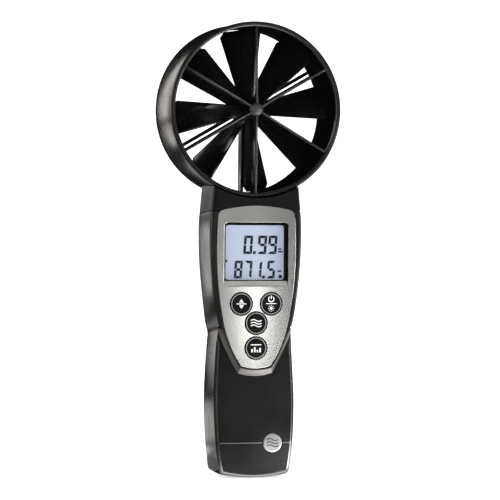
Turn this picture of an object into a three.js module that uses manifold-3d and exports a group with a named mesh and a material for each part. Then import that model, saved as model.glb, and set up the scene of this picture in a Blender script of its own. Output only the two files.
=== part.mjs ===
// Handheld vane anemometer: a ring-shaped vane head on an upright instrument handle.
// Millimetres. +Z is up, +X is to the right as seen from the front, and the front faces -Y.
// The origin is at the centre of the bounding box, on its lowest plane.

import * as THREE from 'three';
import { mergeVertices } from 'three/addons/utils/BufferGeometryUtils.js';
import Module from 'manifold-3d';

const wasm = await Module();
wasm.setup();

// ---------------------------------------------------------------- driving dimensions

const TOTAL_HEIGHT = 277;
const GAP = 0.3;

// vane head
const RING_RADIUS = 53.4;
const RING_FRONT = -19.5;
const RING_BACK = 22.5;
const RING_CENTRE_Z = TOTAL_HEIGHT - RING_RADIUS;
const WALL_OUTER = 53.0;
const WALL_INNER = 50.8;
const BEAD_INNER = 50.3;
const BEAD_DEPTH = 2.2;
const RING_STEPS = 72;
const SPOKES = 6;
const SPOKE_THICKNESS = 1.4;
const BLADES = 8;
const BLADE_THICKNESS = 0.9;
const BLADE_PITCH = THREE.MathUtils.degToRad(44);
const BLADE_START = THREE.MathUtils.degToRad(6.6);
const IMPELLER_Y = 1.5;
const HUB_RADIUS = 4.4;
const HUB_HALF = 8.6;
const SHAFT_RADIUS = 0.75;
const BEARING_RADIUS = 1.7;

// handle
const FACE_Y = -22.0;
const SHELL_FRONT = -21.7;
const GRIP_AT_BADGE = -21.0;
const PARTING_Y = -4.0;
const BACK_Y = 13.5;
const WALL = 2.2;
const NECK_SEAM_Z = 162.6;
const WAIST_Z = 90.7;

// faceplate, display and keys
const PLATE_THICKNESS = 1.2;
const WINDOW = { left: -20.2, right: 20.2, bottom: 118.6, top: 154.6, corner: 2.6 };
const LENS_FRONT = -18.2;
const KEY_RADIUS = 6.85;
const KEY_HOLE = 7.15;
const KEY_FLANGE = 7.35;
const KEY_TRAVEL = 0.8;
const KEYS = [
  { name: 'button_hold', x: -9.35, z: 106.0 },
  { name: 'button_power', x: 9.35, z: 106.0 },
  { name: 'button_flow', x: 0, z: 94.3 },
  { name: 'button_mean', x: 0, z: 79.2 },
];
const BADGE = { x: 11.0, z: 21.6, radius: 5.9 };
const INLAY_HALF_LENGTH = 22.1;

// battery bay
const COVER = { half: 16.0, bottom: 9.0, top: 64.0, thickness: 2.0 };
const BATTERY = { half: 13.1, bottom: 11.5, top: 58.0, front: -8.0, back: 9.3 };

// ---------------------------------------------------------------- materials

function finish(color, roughness, metalness) {
  return new THREE.MeshStandardMaterial({ color, roughness, metalness });
}

const MATERIALS = {
  satinBlack: finish(0x1c1a19, 0.42, 0.0),
  glossBlack: finish(0x0b0a0a, 0.18, 0.0),
  mattGrip: finish(0x2a2928, 0.75, 0.0),
  silver: finish(0xb9bbbd, 0.35, 0.85),
  trim: finish(0x6d6b69, 0.4, 0.5),
  lens: finish(0xd8e0ea, 0.05, 0.0),
  lcd: finish(0xaab4cf, 0.25, 0.0),
  diffuser: finish(0xf0f2f4, 0.5, 0.0),
  board: finish(0x1f5a34, 0.6, 0.0),
  chip: finish(0x161616, 0.5, 0.0),
  rubber: finish(0x2b2b2b, 0.85, 0.0),
  steel: finish(0x9a9c9e, 0.3, 1.0),
  brass: finish(0xb08d4a, 0.3, 1.0),
  battery: finish(0x4a4f55, 0.35, 0.6),
  foam: finish(0x3a3a3a, 0.95, 0.0),
};

// ---------------------------------------------------------------- solids

// A closed solid from a three.js geometry, with its faces turned outwards.
function solid(geometry) {
  geometry.deleteAttribute('normal');
  geometry.deleteAttribute('uv');
  const merged = mergeVertices(geometry, 1e-4);
  const at = merged.attributes.position;
  const corners = [];
  let volume = 0;
  const a = new THREE.Vector3();
  const b = new THREE.Vector3();
  const c = new THREE.Vector3();
  for (let i = 0; i < merged.index.count; i += 3) {
    const [p, q, r] = [0, 1, 2].map((step) => merged.index.getX(i + step));
    if (p === q || q === r || r === p) continue;
    a.fromBufferAttribute(at, p);
    b.fromBufferAttribute(at, q);
    c.fromBufferAttribute(at, r);
    volume += a.dot(b.cross(c));
    corners.push(p, q, r);
  }
  if (volume < 0) corners.reverse();
  const vertProperties = new Float32Array(at.array);
  const triVerts = new Uint32Array(corners);
  return new wasm.Manifold(new wasm.Mesh({ numProp: 3, vertProperties, triVerts }));
}

function geometryOf(manifold) {
  const mesh = manifold.getMesh();
  const geometry = new THREE.BufferGeometry();
  geometry.setAttribute('position', new THREE.BufferAttribute(new Float32Array(mesh.vertProperties), 3));
  geometry.setIndex(new THREE.BufferAttribute(new Uint32Array(mesh.triVerts), 1));
  geometry.computeVertexNormals();
  return geometry;
}

const join = (first, ...others) => others.reduce((sum, next) => sum.add(next), first);
const cut = (first, ...others) => others.reduce((rest, next) => rest.subtract(next), first);

function block([x0, x1], [y0, y1], [z0, z1]) {
  const geometry = new THREE.BoxGeometry(x1 - x0, y1 - y0, z1 - z0);
  return solid(geometry.translate((x0 + x1) / 2, (y0 + y1) / 2, (z0 + z1) / 2));
}

// A cylinder along Y.
function rod(radius, [y0, y1], x, z, steps = 24) {
  const geometry = new THREE.CylinderGeometry(radius, radius, y1 - y0, steps);
  return solid(geometry.translate(x, (y0 + y1) / 2, z));
}

// A solid of revolution about the Y axis line through (0, RING_CENTRE_Z), from [radius, y] pairs.
function turned(profile, steps = 32) {
  const points = profile.map(([radius, y]) => new THREE.Vector2(radius, y));
  return solid(new THREE.LatheGeometry(points, steps).translate(0, 0, RING_CENTRE_Z));
}

// An outline in the X-Z plane, extruded from y0 (front) to y1 (back).
function slab(outline, [y0, y1]) {
  const depth = y1 - y0;
  const geometry = new THREE.ExtrudeGeometry(outline, { depth, bevelEnabled: false, curveSegments: 5 });
  return solid(geometry.rotateX(Math.PI / 2).translate(0, y1, 0));
}

// A symmetric ring of points from its right-hand half, listed from bottom to top.
function bothSides(rightHalf) {
  const leftHalf = rightHalf.map(([x, z]) => [-x, z]).reverse();
  return [...rightHalf, ...leftHalf].filter(([x, z], index, all) => {
    const [px, pz] = all[(index + all.length - 1) % all.length];
    return Math.hypot(x - px, z - pz) > 1e-6;
  });
}

const shapeOf = (points) => new THREE.Shape(points.map(([x, z]) => new THREE.Vector2(x, z)));
const mirrored = (rightHalf) => shapeOf(bothSides(rightHalf));

function roundedWindow({ left, right, bottom, top, corner }, grow = 0) {
  const [l, r, b, t] = [left - grow, right + grow, bottom - grow, top + grow];
  const shape = new THREE.Shape();
  shape.moveTo(l + corner, b);
  shape.lineTo(r - corner, b);
  shape.absarc(r - corner, b + corner, corner, -Math.PI / 2, 0, false);
  shape.absarc(r - corner, t - corner, corner, 0, Math.PI / 2, false);
  shape.absarc(l + corner, t - corner, corner, Math.PI / 2, Math.PI, false);
  shape.absarc(l + corner, b + corner, corner, Math.PI, Math.PI * 1.5, false);
  return shape;
}

// ---------------------------------------------------------------- handle outlines

// Half-width of the handle at a height, through a few stations from the foot to the neck.
const STATIONS = [
  [4.6, 22.4], [20, 24.5], [44, 25.6], [62, 25.1], [80, 24.1], [87.5, 23.4], [WAIST_Z, 22.9], [94, 23.6],
  [100, 24.9], [114, 26.9], [130, 28.4], [146, 29.0], [156, 28.8], [NECK_SEAM_Z, 28.3], [182, 26.5],
];
const stationCurve = new THREE.SplineCurve(STATIONS.map(([z, half]) => new THREE.Vector2(z, half)));
const FOOT_SAG = 4.0;

function halfWidth(z) {
  let [low, high] = [0, 1];
  for (let i = 0; i < 40; i += 1) {
    const middle = (low + high) / 2;
    if (stationCurve.getPoint(middle).x < z) low = middle;
    else high = middle;
  }
  return stationCurve.getPoint(low).y;
}

// Towards the back the waist drops by WAIST_DROP and the grip narrows by GRIP_DRAFT. Depth is 0 to 1.
const WAIST_DROP = 4.3;
const GRIP_DRAFT = 0.7;

function halfWidthAt(z, depth) {
  const nearWaist = Math.exp(-(((z - WAIST_Z) / 14) ** 2));
  const inGrip = THREE.MathUtils.clamp((WAIST_Z - z) / 10, 0, 1) * THREE.MathUtils.clamp(z / 12, 0, 1);
  return halfWidth(z + WAIST_DROP * depth * nearWaist) - GRIP_DRAFT * depth * inGrip;
}

// Points of the handle's outline between two heights, pulled in by inset.
function handlePoints(bottom, top, inset = 0, steps = 18, depth = 0) {
  const half = [];
  if (bottom <= 0) {
    const foot = halfWidth(FOOT_SAG) - inset;
    for (let i = 0; i <= 5; i += 1) {
      const x = (foot - 2.5) * (i / 5);
      half.push([x, inset + (FOOT_SAG - 1.4) * (x / foot) ** 2]);
    }
    half.push([foot - 0.6, inset + FOOT_SAG - 0.7]);
  } else {
    half.push([0, bottom]);
  }
  const start = bottom <= 0 ? FOOT_SAG + 1.4 + inset : bottom;
  for (let i = 0; i <= steps; i += 1) {
    const z = start + (top - start) * (i / steps);
    half.push([halfWidthAt(z, depth) - inset, z]);
  }
  half.push([0, top]);
  return bothSides(half);
}

const handleOutline = (...sizes) => shapeOf(handlePoints(...sizes));

// A solid through outlines of equal point counts, listed from front to back as [y, points].
function loft(levels) {
  const positions = levels.flatMap(([y, points]) => points.flatMap(([x, z]) => [x, y, z]));
  const count = levels[0][1].length;
  const index = [];
  const flat = (points) => points.map(([x, z]) => new THREE.Vector2(x, z));
  const cap = (points) => THREE.ShapeUtils.triangulateShape(flat(points), []);
  for (const [a, b, c] of cap(levels[0][1])) index.push(a, b, c);
  for (let level = 0; level + 1 < levels.length; level += 1) {
    for (let i = 0; i < count; i += 1) {
      const near = level * count;
      const next = (i + 1) % count;
      index.push(near + i, near + count + i, near + next);
      index.push(near + next, near + count + i, near + count + next);
    }
  }
  const last = (levels.length - 1) * count;
  for (const [a, b, c] of cap(levels.at(-1)[1])) index.push(last + a, last + c, last + b);
  const geometry = new THREE.BufferGeometry();
  geometry.setAttribute('position', new THREE.Float32BufferAttribute(positions, 3));
  geometry.setIndex(index);
  return solid(geometry);
}

// The handle's body between two heights, its front edge rounded by frontRim and its back by backRim.
function handleBody(bottom, top, frontRim, backRim, steps) {
  const levels = [];
  const level = (y, inset) => {
    const depth = (y - SHELL_FRONT) / (BACK_Y - SHELL_FRONT);
    levels.push([y, handlePoints(bottom, top, inset, steps, depth)]);
  };
  for (const turn of [0, 30, 60, 90]) {
    const angle = THREE.MathUtils.degToRad(turn);
    level(SHELL_FRONT + frontRim * (1 - Math.sin(angle)), frontRim * (1 - Math.cos(angle)));
  }
  levels.reverse();
  for (const turn of [0, 22.5, 45, 67.5, 90]) {
    const angle = THREE.MathUtils.degToRad(turn);
    level(BACK_Y - backRim * (1 - Math.sin(angle)), backRim * (1 - Math.cos(angle)));
  }
  return loft(levels);
}

// A bar along X with its section given as [y, z] points.
function bar(section, [left, right]) {
  const shape = new THREE.Shape(section.map(([y, z]) => new THREE.Vector2(y, z)));
  const geometry = new THREE.ExtrudeGeometry(shape, { depth: right - left, bevelEnabled: false });
  geometry.applyMatrix4(new THREE.Matrix4().set(0, 0, 1, left, 1, 0, 0, 0, 0, 1, 0, 0, 0, 0, 0, 1));
  return solid(geometry);
}

// The seam between neck and handle drops towards the back. This is all that lies above it, lowered by drop.
const SEAM_SLOPE = 0.066;
const seamZ = (y) => NECK_SEAM_Z - SEAM_SLOPE * (y - SHELL_FRONT);
const aboveSeam = (drop) => bar([
  [-60, seamZ(-60) - drop], [60, seamZ(60) - drop], [60, 300], [-60, 300],
], [-60, 60]);
const belowSeam = (drop) => bar([
  [-60, 100], [60, 100], [60, seamZ(60) - drop], [-60, seamZ(-60) - drop],
], [-60, 60]);

// The grip's front face as [y, z] points: deepest beside the plate's foot, nearly flush at the bottom.
const STEP_TOP = 92.2;
const GRIP_PROFILE = [
  [-21.5, -10], [-21.4, 8], [GRIP_AT_BADGE, 21.6], [-20.4, 33], [-19.7, 45], [-19.1, 56], [-18.5, 66],
  [-18.15, 76], [-18.1, STEP_TOP],
];
const GRIP_WALL = 2.4;

// The silver plate: widest beside the display, narrow at the foot, with a shallow arch on top.
const PLATE_HALF = [
  [0, 66.9], [4.8, 67.3], [9.3, 68.5], [12.6, 73.6], [14.5, 77.2], [16.2, 80.9], [17.5, 84.6], [18.8, 88.2],
  [19.7, 91.9], [20.5, 95.6], [21.2, 99.6], [22.5, 107.2], [23.4, 114.4], [24.1, 121.7], [24.6, 130],
  [24.8, 140], [24.4, 154.2], [23.9, 159.4], [22.9, 161.6], [20.8, 162.9], [16.0, 164.0], [8.0, 165.1],
  [0, 165.5],
];

function plateOutline(grow = 0) {
  const middle = 116;
  const outline = PLATE_HALF.map(([x, z]) => {
    const outward = x === 0 ? 0 : grow;
    const away = z > 160 || z < 70 ? grow * Math.sign(z - middle) : 0;
    return [x + outward, z + away];
  });
  return mirrored(outline);
}

// The grey trim that borders the lower part of the plate, as a V-shaped band.
const TRIM_OUTER = [
  [0, 62.1], [5.4, 62.5], [10.7, 63.8], [14.3, 69.8], [18.0, 77.1], [21.2, 84.4], [22.6, 88.1], [22.8, 90.8],
];
const TRIM_INNER = [
  [0, 66.1], [4.9, 66.4], [9.6, 67.3], [13.6, 73.6], [17.1, 81.0], [19.9, 88.3], [21.2, 90.8],
];
const TRIM_SPAN = [-21.9, -18.4];
// How far the step between grip and plate stands back from the trim's lines.
const ISLAND_EDGE = 0.15;

function trimOutline() {
  const outer = TRIM_OUTER;
  const inner = [...TRIM_INNER].reverse();
  const left = (points) => points.map(([x, z]) => [-x, z]).reverse();
  const points = [...outer, ...inner, ...left(inner).slice(1), ...left(outer).slice(0, -1)];
  return new THREE.Shape(points.map(([x, z]) => new THREE.Vector2(x, z)));
}

const keyRods = (radius, span) => KEYS.map(({ x, z }) => rod(radius, span, x, z));

// ---------------------------------------------------------------- assembly

const anemometer = new THREE.Group();

function add(name, shape, material) {
  const mesh = new THREE.Mesh(geometryOf(shape), material);
  mesh.name = name;
  anemometer.add(mesh);
}

// ---------------------------------------------------------------- vane head

const turnAboutRing = (shape, degrees) => shape
  .translate([0, 0, -RING_CENTRE_Z])
  .rotate([0, -degrees, 0])
  .translate([0, 0, RING_CENTRE_Z]);

function makeRing() {
  const front = RING_FRONT + BEAD_DEPTH + GAP;
  const back = RING_BACK - BEAD_DEPTH - GAP;
  const duct = turned([
    [WALL_INNER, front], [WALL_OUTER - 0.5, front], [WALL_OUTER, front + 0.8],
    [WALL_OUTER, back - 0.8], [WALL_OUTER - 0.5, back], [WALL_INNER, back], [WALL_INNER, front],
  ], RING_STEPS);
  const stem = block([-9, 9], [-9, 9], [156, RING_CENTRE_Z - WALL_INNER - 1.2]);
  add('vane_ring', join(duct, stem), MATERIALS.satinBlack);
}

// A thin plate that runs out from the hub, from [radius, y] corners.
function spoke(corners) {
  const outline = new THREE.Shape(corners.map(([radius, y]) => new THREE.Vector2(radius, y)));
  const geometry = new THREE.ExtrudeGeometry(outline, { depth: SPOKE_THICKNESS, bevelEnabled: false });
  return solid(geometry.translate(0, 0, RING_CENTRE_Z - SPOKE_THICKNESS / 2));
}

function guard(hoop, corners, hub) {
  const plate = spoke(corners);
  const spokes = [];
  for (let i = 0; i < SPOKES; i += 1) spokes.push(turnAboutRing(plate, 30 + i * (360 / SPOKES)));
  return join(turned(hoop, RING_STEPS), hub, ...spokes);
}

function makeFrontGuard() {
  const outer = RING_RADIUS;
  const back = RING_FRONT + BEAD_DEPTH;
  const hoop = [
    [BEAD_INNER, RING_FRONT + 0.4], [BEAD_INNER + 0.5, RING_FRONT], [outer - 0.7, RING_FRONT],
    [outer, RING_FRONT + 0.7], [outer, back], [BEAD_INNER, back], [BEAD_INNER, RING_FRONT + 0.4],
  ];
  const corners = [[2, -20.6], [BEAD_INNER + 0.3, -18.6], [BEAD_INNER + 0.1, -10.6], [2, -8.4]];
  const nose = turned([
    [0, -22.5], [1.5, -22.1], [2.6, -21.0], [3.1, -19.4], [3.4, -17.6],
    [3.4, -8.0], [0, -8.0],
  ]);
  const bore = rod(BEARING_RADIUS + GAP, [-11.2, -7], 0, RING_CENTRE_Z);
  const pocket = rod(SHAFT_RADIUS + GAP, [-13.0, -7], 0, RING_CENTRE_Z, 12);
  const shell = cut(guard(hoop, corners, nose), bore, pocket);
  add('front_guard', shell, MATERIALS.satinBlack);
}

function makeRearGuard() {
  const outer = RING_RADIUS;
  const front = RING_BACK - BEAD_DEPTH;
  const hoop = [
    [BEAD_INNER, front], [outer, front], [outer, RING_BACK - 0.7], [outer - 0.7, RING_BACK],
    [BEAD_INNER, RING_BACK], [BEAD_INNER, front],
  ];
  const corners = [[2, 11.4], [BEAD_INNER + 0.1, 13.4], [BEAD_INNER + 0.3, 21.6], [2, 21.6]];
  const barrel = turned([[0, 11.0], [3.9, 11.0], [3.9, 20.6], [2.9, 21.8], [0, 21.8]]);
  const bore = rod(BEARING_RADIUS + GAP, [10, 14.2], 0, RING_CENTRE_Z);
  const pocket = rod(SHAFT_RADIUS + GAP, [10, 16.0], 0, RING_CENTRE_Z, 12);
  add('rear_guard', cut(guard(hoop, corners, barrel), bore, pocket), MATERIALS.satinBlack);
}

function makeImpeller() {
  const corner = [[3, -4.2], [46.0, -14.2], [49.3, -11.0], [49.3, 11.0], [46.0, 14.2], [3, 4.2]];
  const outline = new THREE.Shape(corner.map(([radius, chord]) => new THREE.Vector2(radius, chord)));
  const plate = new THREE.ExtrudeGeometry(outline, { depth: BLADE_THICKNESS, bevelEnabled: false })
    .translate(0, 0, -BLADE_THICKNESS / 2)
    .rotateX(Math.PI / 2 - BLADE_PITCH)
    .translate(0, IMPELLER_Y, RING_CENTRE_Z);
  const blade = solid(plate);
  const hub = turned([
    [0, IMPELLER_Y - HUB_HALF], [3.2, IMPELLER_Y - HUB_HALF], [HUB_RADIUS, IMPELLER_Y - HUB_HALF + 1.4],
    [HUB_RADIUS, IMPELLER_Y + HUB_HALF - 1.4], [3.2, IMPELLER_Y + HUB_HALF], [0, IMPELLER_Y + HUB_HALF],
  ]);
  const blades = [];
  for (let i = 0; i < BLADES; i += 1) {
    blades.push(turnAboutRing(blade, THREE.MathUtils.radToDeg(BLADE_START) + i * (360 / BLADES)));
  }
  const bore = rod(SHAFT_RADIUS + 0.05, [-20, 20], 0, RING_CENTRE_Z, 12);
  add('impeller', cut(join(hub, ...blades), bore), MATERIALS.glossBlack);
  add('impeller_shaft', rod(SHAFT_RADIUS, [-12.4, 15.4], 0, RING_CENTRE_Z, 12), MATERIALS.steel);
}

function makeBearings() {
  const bush = ([y0, y1]) => cut(
    rod(BEARING_RADIUS, [y0, y1], 0, RING_CENTRE_Z),
    rod(SHAFT_RADIUS + 0.08, [y0 - 1, y1 + 1], 0, RING_CENTRE_Z, 12),
  );
  add('front_bearing', bush([-10.9, -8.3]), MATERIALS.brass);
  add('rear_bearing', bush([11.3, 13.9]), MATERIALS.brass);
}

// The temperature bead stands on the ring's inner wall beside a rear spoke, behind the blades.
function makeTemperatureBead() {
  const post = new THREE.CylinderGeometry(0.9, 1.3, 7, 12).rotateX(Math.PI / 2);
  const bead = solid(post.translate(6.5, 16.5, RING_CENTRE_Z - 46.2));
  add('temperature_sensor', bead, MATERIALS.glossBlack);
}

// ---------------------------------------------------------------- neck

// The neck cradles the ring and plugs on the handle. Its two shells meet at the parting plane.
function makeNeck() {
  const body = cut(handleBody(NECK_SEAM_Z - 6, 181, 1.8, 5.0, 6), belowSeam(0));
  const cradle = rod(RING_RADIUS + GAP, [-40, 40], 0, RING_CENTRE_Z, 96);
  const well = block([-9.4, 9.4], [-9.4, 9.4], [140, 190]);
  const plateBed = slab(plateOutline(GAP), [-60, FACE_Y + PLATE_THICKNESS + GAP]);
  const front = cut(
    body, cradle, well, plateBed,
    block([-60, 60], [PARTING_Y, 40], [100, 200]),
  );
  const back = cut(
    body, cradle, well,
    block([-60, 60], [-60, PARTING_Y + 0.15], [100, 200]),
  );
  add('neck_front', front, MATERIALS.satinBlack);
  add('neck_rear', back, MATERIALS.satinBlack);
  const lip = handleOutline(NECK_SEAM_Z - 6, NECK_SEAM_Z + 2, 0.6, 2);
  const seal = cut(
    slab(lip, [SHELL_FRONT + 2.4, BACK_Y - 3.6]), well, plateBed, belowSeam(0.7), aboveSeam(0.1),
  );
  add('neck_seal', seal, MATERIALS.rubber);
}

// ---------------------------------------------------------------- handle shells

const SEAM_GAP = 0.8;
const CAVITY_TOP = 157.2;
// Above this height the cavity behind the display reaches nearly to the front.
const DISPLAY_CAVITY = 94;
const handleShape = () => cut(handleBody(0, NECK_SEAM_Z + 4, 1.8, 5.0), aboveSeam(SEAM_GAP));

// Screws come in from the back, through the rear shell, into posts of the front shell.
const SCREWS = [
  { name: 'case_screw_upper_left', x: -24.2, z: 151 },
  { name: 'case_screw_upper_right', x: 24.2, z: 151 },
  { name: 'case_screw_middle_left', x: -16.6, z: 79 },
  { name: 'case_screw_middle_right', x: 16.6, z: 79 },
];
const SCREW_HEAD = 2.2;
const SCREW_SHANK = 1.1;
const POST_RADIUS = 2.4;

function makeFrontHousing() {
  const body = handleShape();
  const inside = slab(handleOutline(0, CAVITY_TOP, WALL), [-30, 30]);
  const gripInside = GRIP_PROFILE.map(([y, z]) => [y + GRIP_WALL, z]);
  const behindGrip = bar([...gripInside, [-15.7, 200], [30, 200], [30, -10]], [-60, 60]).intersect(inside);
  const behindDisplay = slab(handleOutline(DISPLAY_CAVITY, CAVITY_TOP, WALL), [SHELL_FRONT + 3.2, 0]);
  const behindKeys = slab(mirrored([
    [0, 70], [8, 70], [11.5, 76], [14.5, 83], [17.5, 90], [18.6, DISPLAY_CAVITY + 0.5],
    [0, DISPLAY_CAVITY + 0.5],
  ]), [SHELL_FRONT + 3.2, 0]);
  const gripStep = bar([...GRIP_PROFILE, [-60, STEP_TOP], [-60, -10]], [-60, 60]);
  const island = slab(mirrored([
    ...TRIM_INNER.map(([x, z]) => [x === 0 ? 0 : x - ISLAND_EDGE, z + ISLAND_EDGE]),
    [22.1, STEP_TOP + 0.1], [60, STEP_TOP + 0.1], [60, 200], [0, 200],
  ]), [-60, 0]);
  const step = cut(gripStep, island);
  const plateBed = slab(plateOutline(GAP), [-60, FACE_Y + PLATE_THICKNESS + GAP]);
  const trimBed = cut(slab(mirrored([
    ...TRIM_OUTER.map(([x, z]) => [x === 0 ? 0 : x + ISLAND_EDGE, z - ISLAND_EDGE]),
    [23, STEP_TOP], [0, STEP_TOP],
  ]), [-60, TRIM_SPAN[1] + GAP]), island);
  const opening = slab(roundedWindow(WINDOW, -0.6), [-60, 0]);
  const keyHoles = keyRods(KEY_HOLE, [-60, 0]);
  const badgeBed = rod(BADGE.radius + GAP, [-60, GRIP_AT_BADGE + 0.9], BADGE.x, BADGE.z, 32);
  const inlayBed = block([-INLAY_HALF_LENGTH - GAP, INLAY_HALF_LENGTH + GAP], [-60, GRIP_AT_BADGE + 0.5],
    [BADGE.z - 0.65, BADGE.z + 0.65]);
  const stem = block([-9.4, 9.4], [-9.4, 9.4], [140, 190]);
  const beyondParting = block([-60, 60], [PARTING_Y, 60], [-10, 300]);
  const shell = cut(body, behindGrip, behindDisplay, behindKeys, step, plateBed, trimBed, opening,
    ...keyHoles, badgeBed, inlayBed, stem, beyondParting);
  const posts = SCREWS.map(({ x, z }) => cut(
    rod(POST_RADIUS, [z > WAIST_Z ? -18.7 : -16.0, PARTING_Y], x, z, 16),
    rod(SCREW_SHANK + GAP, [-15, 0], x, z, 12),
  ));
  add('front_housing', join(shell, ...posts), MATERIALS.satinBlack);
}

// The rear shell's cavity outline keeps clear of the outer face at its narrowest, at the back.
const rearCavityOutline = (extra) => shapeOf(handlePoints(0, CAVITY_TOP, WALL + extra, 24, 1));

function makeRearHousing() {
  const body = handleShape();
  const cavity = slab(rearCavityOutline(0.6), [-30, BACK_Y - WALL - 3.2]);
  const deepCavity = slab(rearCavityOutline(4.2), [-30, BACK_Y - WALL]);
  const bay = block([-COVER.half - GAP, COVER.half + GAP], [-30, 60], [COVER.bottom - GAP, COVER.top + GAP]);
  const stem = block([-9.4, 9.4], [-9.4, 9.4], [140, 190]);
  const beforeParting = block([-60, 60], [-60, PARTING_Y + 0.15], [-10, 300]);
  const labelBed = block([-16.3, 16.3], [BACK_Y - 0.6, 60], [96.7, 133.3]);
  const posts = SCREWS.map(({ x, z }) => rod(3.6, [-1, BACK_Y - 1.5], x, z, 16));
  const bores = SCREWS.flatMap(({ x, z }) => [
    rod(SCREW_SHANK + GAP, [-60, 60], x, z, 12),
    rod(SCREW_HEAD + GAP, [3.2, 60], x, z, 16),
  ]);
  const shell = cut(body, cavity, deepCavity, bay, stem, beforeParting, labelBed);
  const trimmedPosts = posts.map((post) => post.intersect(body));
  add('rear_housing', cut(join(shell, ...trimmedPosts), ...bores), MATERIALS.satinBlack);
  const label = block([-16, 16], [BACK_Y - 0.3, BACK_Y - 0.05], [97, 133]);
  add('rear_label', label, MATERIALS.silver);
}

function makeScrews() {
  for (const { name, x, z } of SCREWS) {
    const head = rod(SCREW_HEAD, [3.5, 5.4], x, z, 16);
    const shank = rod(SCREW_SHANK, [-14.6, 3.6], x, z, 10);
    const slot = join(block([x - 1.6, x + 1.6], [4.7, 6], [z - 0.3, z + 0.3]),
      block([x - 0.3, x + 0.3], [4.7, 6], [z - 1.6, z + 1.6]));
    add(name, cut(join(head, shank), slot), MATERIALS.steel);
  }
}

// ---------------------------------------------------------------- face, display and keys

function makeFaceplate() {
  const outline = slab(plateOutline(), [FACE_Y, FACE_Y + PLATE_THICKNESS]);
  const opening = slab(roundedWindow(WINDOW), [-60, 0]);
  add('faceplate', cut(outline, opening, ...keyRods(KEY_HOLE, [-60, 0])), MATERIALS.silver);
  add('faceplate_trim', slab(trimOutline(), TRIM_SPAN), MATERIALS.trim);
}

function makeDisplay() {
  const seat = { left: -20.6, right: 20.6, bottom: 117.6, top: 155.4, corner: 1.4 };
  const pane = roundedWindow(seat);
  add('display_window', slab(pane, [LENS_FRONT, LENS_FRONT + 1.2]), MATERIALS.lens);
  const glass = block([-19.2, 19.2], [-16.6, -14.4], [118.6, 153.6]);
  add('lcd_module', glass, MATERIALS.lcd);
  const frame = cut(
    block([-20.6, 20.6], [-16.7, -11.4], [116.6, 155.6]),
    block([-19.5, 19.5], [-30, 0], [118.3, 153.9]),
  );
  add('lcd_frame', frame, MATERIALS.chip);
  add('backlight', block([-19.2, 19.2], [-14.1, -11.6], [118.6, 153.6]), MATERIALS.diffuser);
}

function makeKeys() {
  for (const { name, x, z } of KEYS) {
    const cap = solid(new THREE.LatheGeometry([
      [0, -22.0], [4.6, -22.05], [5.9, -22.35], [6.5, -22.3], [KEY_RADIUS, -21.9], [KEY_RADIUS, -18.1],
      [KEY_FLANGE, -18.1], [KEY_FLANGE, -17.1], [3.0, -17.1], [3.0, -15.2], [0, -15.2],
    ].map(([radius, y]) => new THREE.Vector2(radius, y)), 32).translate(x, 0, z));
    add(name, cap, MATERIALS.glossBlack);
  }
  const mat = block([-17.5, 17.5], [-15.2 + KEY_TRAVEL + 0.2, -12.2], [70.5, 114.5]);
  const clear = SCREWS.slice(2).map(({ x, z }) => rod(3.4, [-30, 0], x, z, 16));
  add('keypad_mat', cut(mat, ...clear), MATERIALS.rubber);
}

function makeBoard() {
  const outline = mirrored([
    [0, 68.5], [12.5, 68.5], [12.5, 84.5], [19.5, 84.5], [20.5, 96], [23.4, 112], [24.4, 143.5],
    [16, 146.5], [16, 156.5], [0, 156.5],
  ]);
  add('circuit_board', slab(outline, [-10.9, -9.3]), MATERIALS.board);
  add('processor_chip', block([-6, 6], [-9.0, -7.2], [120, 132]), MATERIALS.chip);
  add('contact_strip', block([-18.5, 18.5], [-14.2, -11.2], [114.9, 116.3]), MATERIALS.rubber);
}

// ---------------------------------------------------------------- battery bay

function makeBattery() {
  const { half, bottom, top, front, back } = BATTERY;
  add('battery', block([-half, half], [front, back], [bottom, top]), MATERIALS.battery);
  const connector = block([-half, half], [front + 0.4, back - 0.4], [top + GAP, top + 4.2]);
  add('battery_connector', connector, MATERIALS.chip);
  add('battery_pad', block([-10, 10], [front - 3.2, front - GAP], [20, 52]), MATERIALS.foam);
}

// A lid hooked at its lower edge: it swings out at the top.
function makeBatteryCover() {
  const { half, bottom, top, thickness } = COVER;
  const lid = block([-half, half], [BACK_Y - thickness, BACK_Y], [bottom, top]);
  const latch = block([-5, 5], [BACK_Y - thickness - 1.0, BACK_Y - thickness + 0.1], [top - 2.4, top - 0.2]);
  const notch = block([-6, 6], [BACK_Y - 0.9, BACK_Y + 1], [top - 6.2, top - 3.0]);
  const ribs = [0, 1, 2, 3].map((i) => {
    const foot = top - 9.6 - i * 2.4;
    return block([-7, 7], [BACK_Y - 0.5, BACK_Y + 1], [foot, foot + 1.2]);
  });
  add('battery_cover', cut(join(lid, latch), notch, ...ribs), MATERIALS.mattGrip);
}

// ---------------------------------------------------------------- grip trim and leads

function makeGripTrim() {
  const { x, z, radius } = BADGE;
  add('badge', rod(radius, [GRIP_AT_BADGE - 0.5, GRIP_AT_BADGE + 0.6], x, z, 32), MATERIALS.silver);
  const [y0, y1] = [GRIP_AT_BADGE - 0.1, GRIP_AT_BADGE + 0.2];
  const strip = (x0, x1) => block([x0, x1], [y0, y1], [z - 0.35, z + 0.35]);
  add('grip_inlay_left', strip(-INLAY_HALF_LENGTH, x - radius - 0.6), MATERIALS.trim);
  add('grip_inlay_right', strip(x + radius + 0.6, INLAY_HALF_LENGTH), MATERIALS.trim);
}

function lead(name, points, radius, material) {
  const route = new THREE.CatmullRomCurve3(points.map(([x, y, z]) => new THREE.Vector3(x, y, z)));
  const section = new THREE.Shape().absarc(0, 0, radius, 0, Math.PI * 2, false);
  const tube = new THREE.ExtrudeGeometry(section, { steps: 14, curveSegments: 4, extrudePath: route });
  add(name, solid(tube), material);
}

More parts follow.
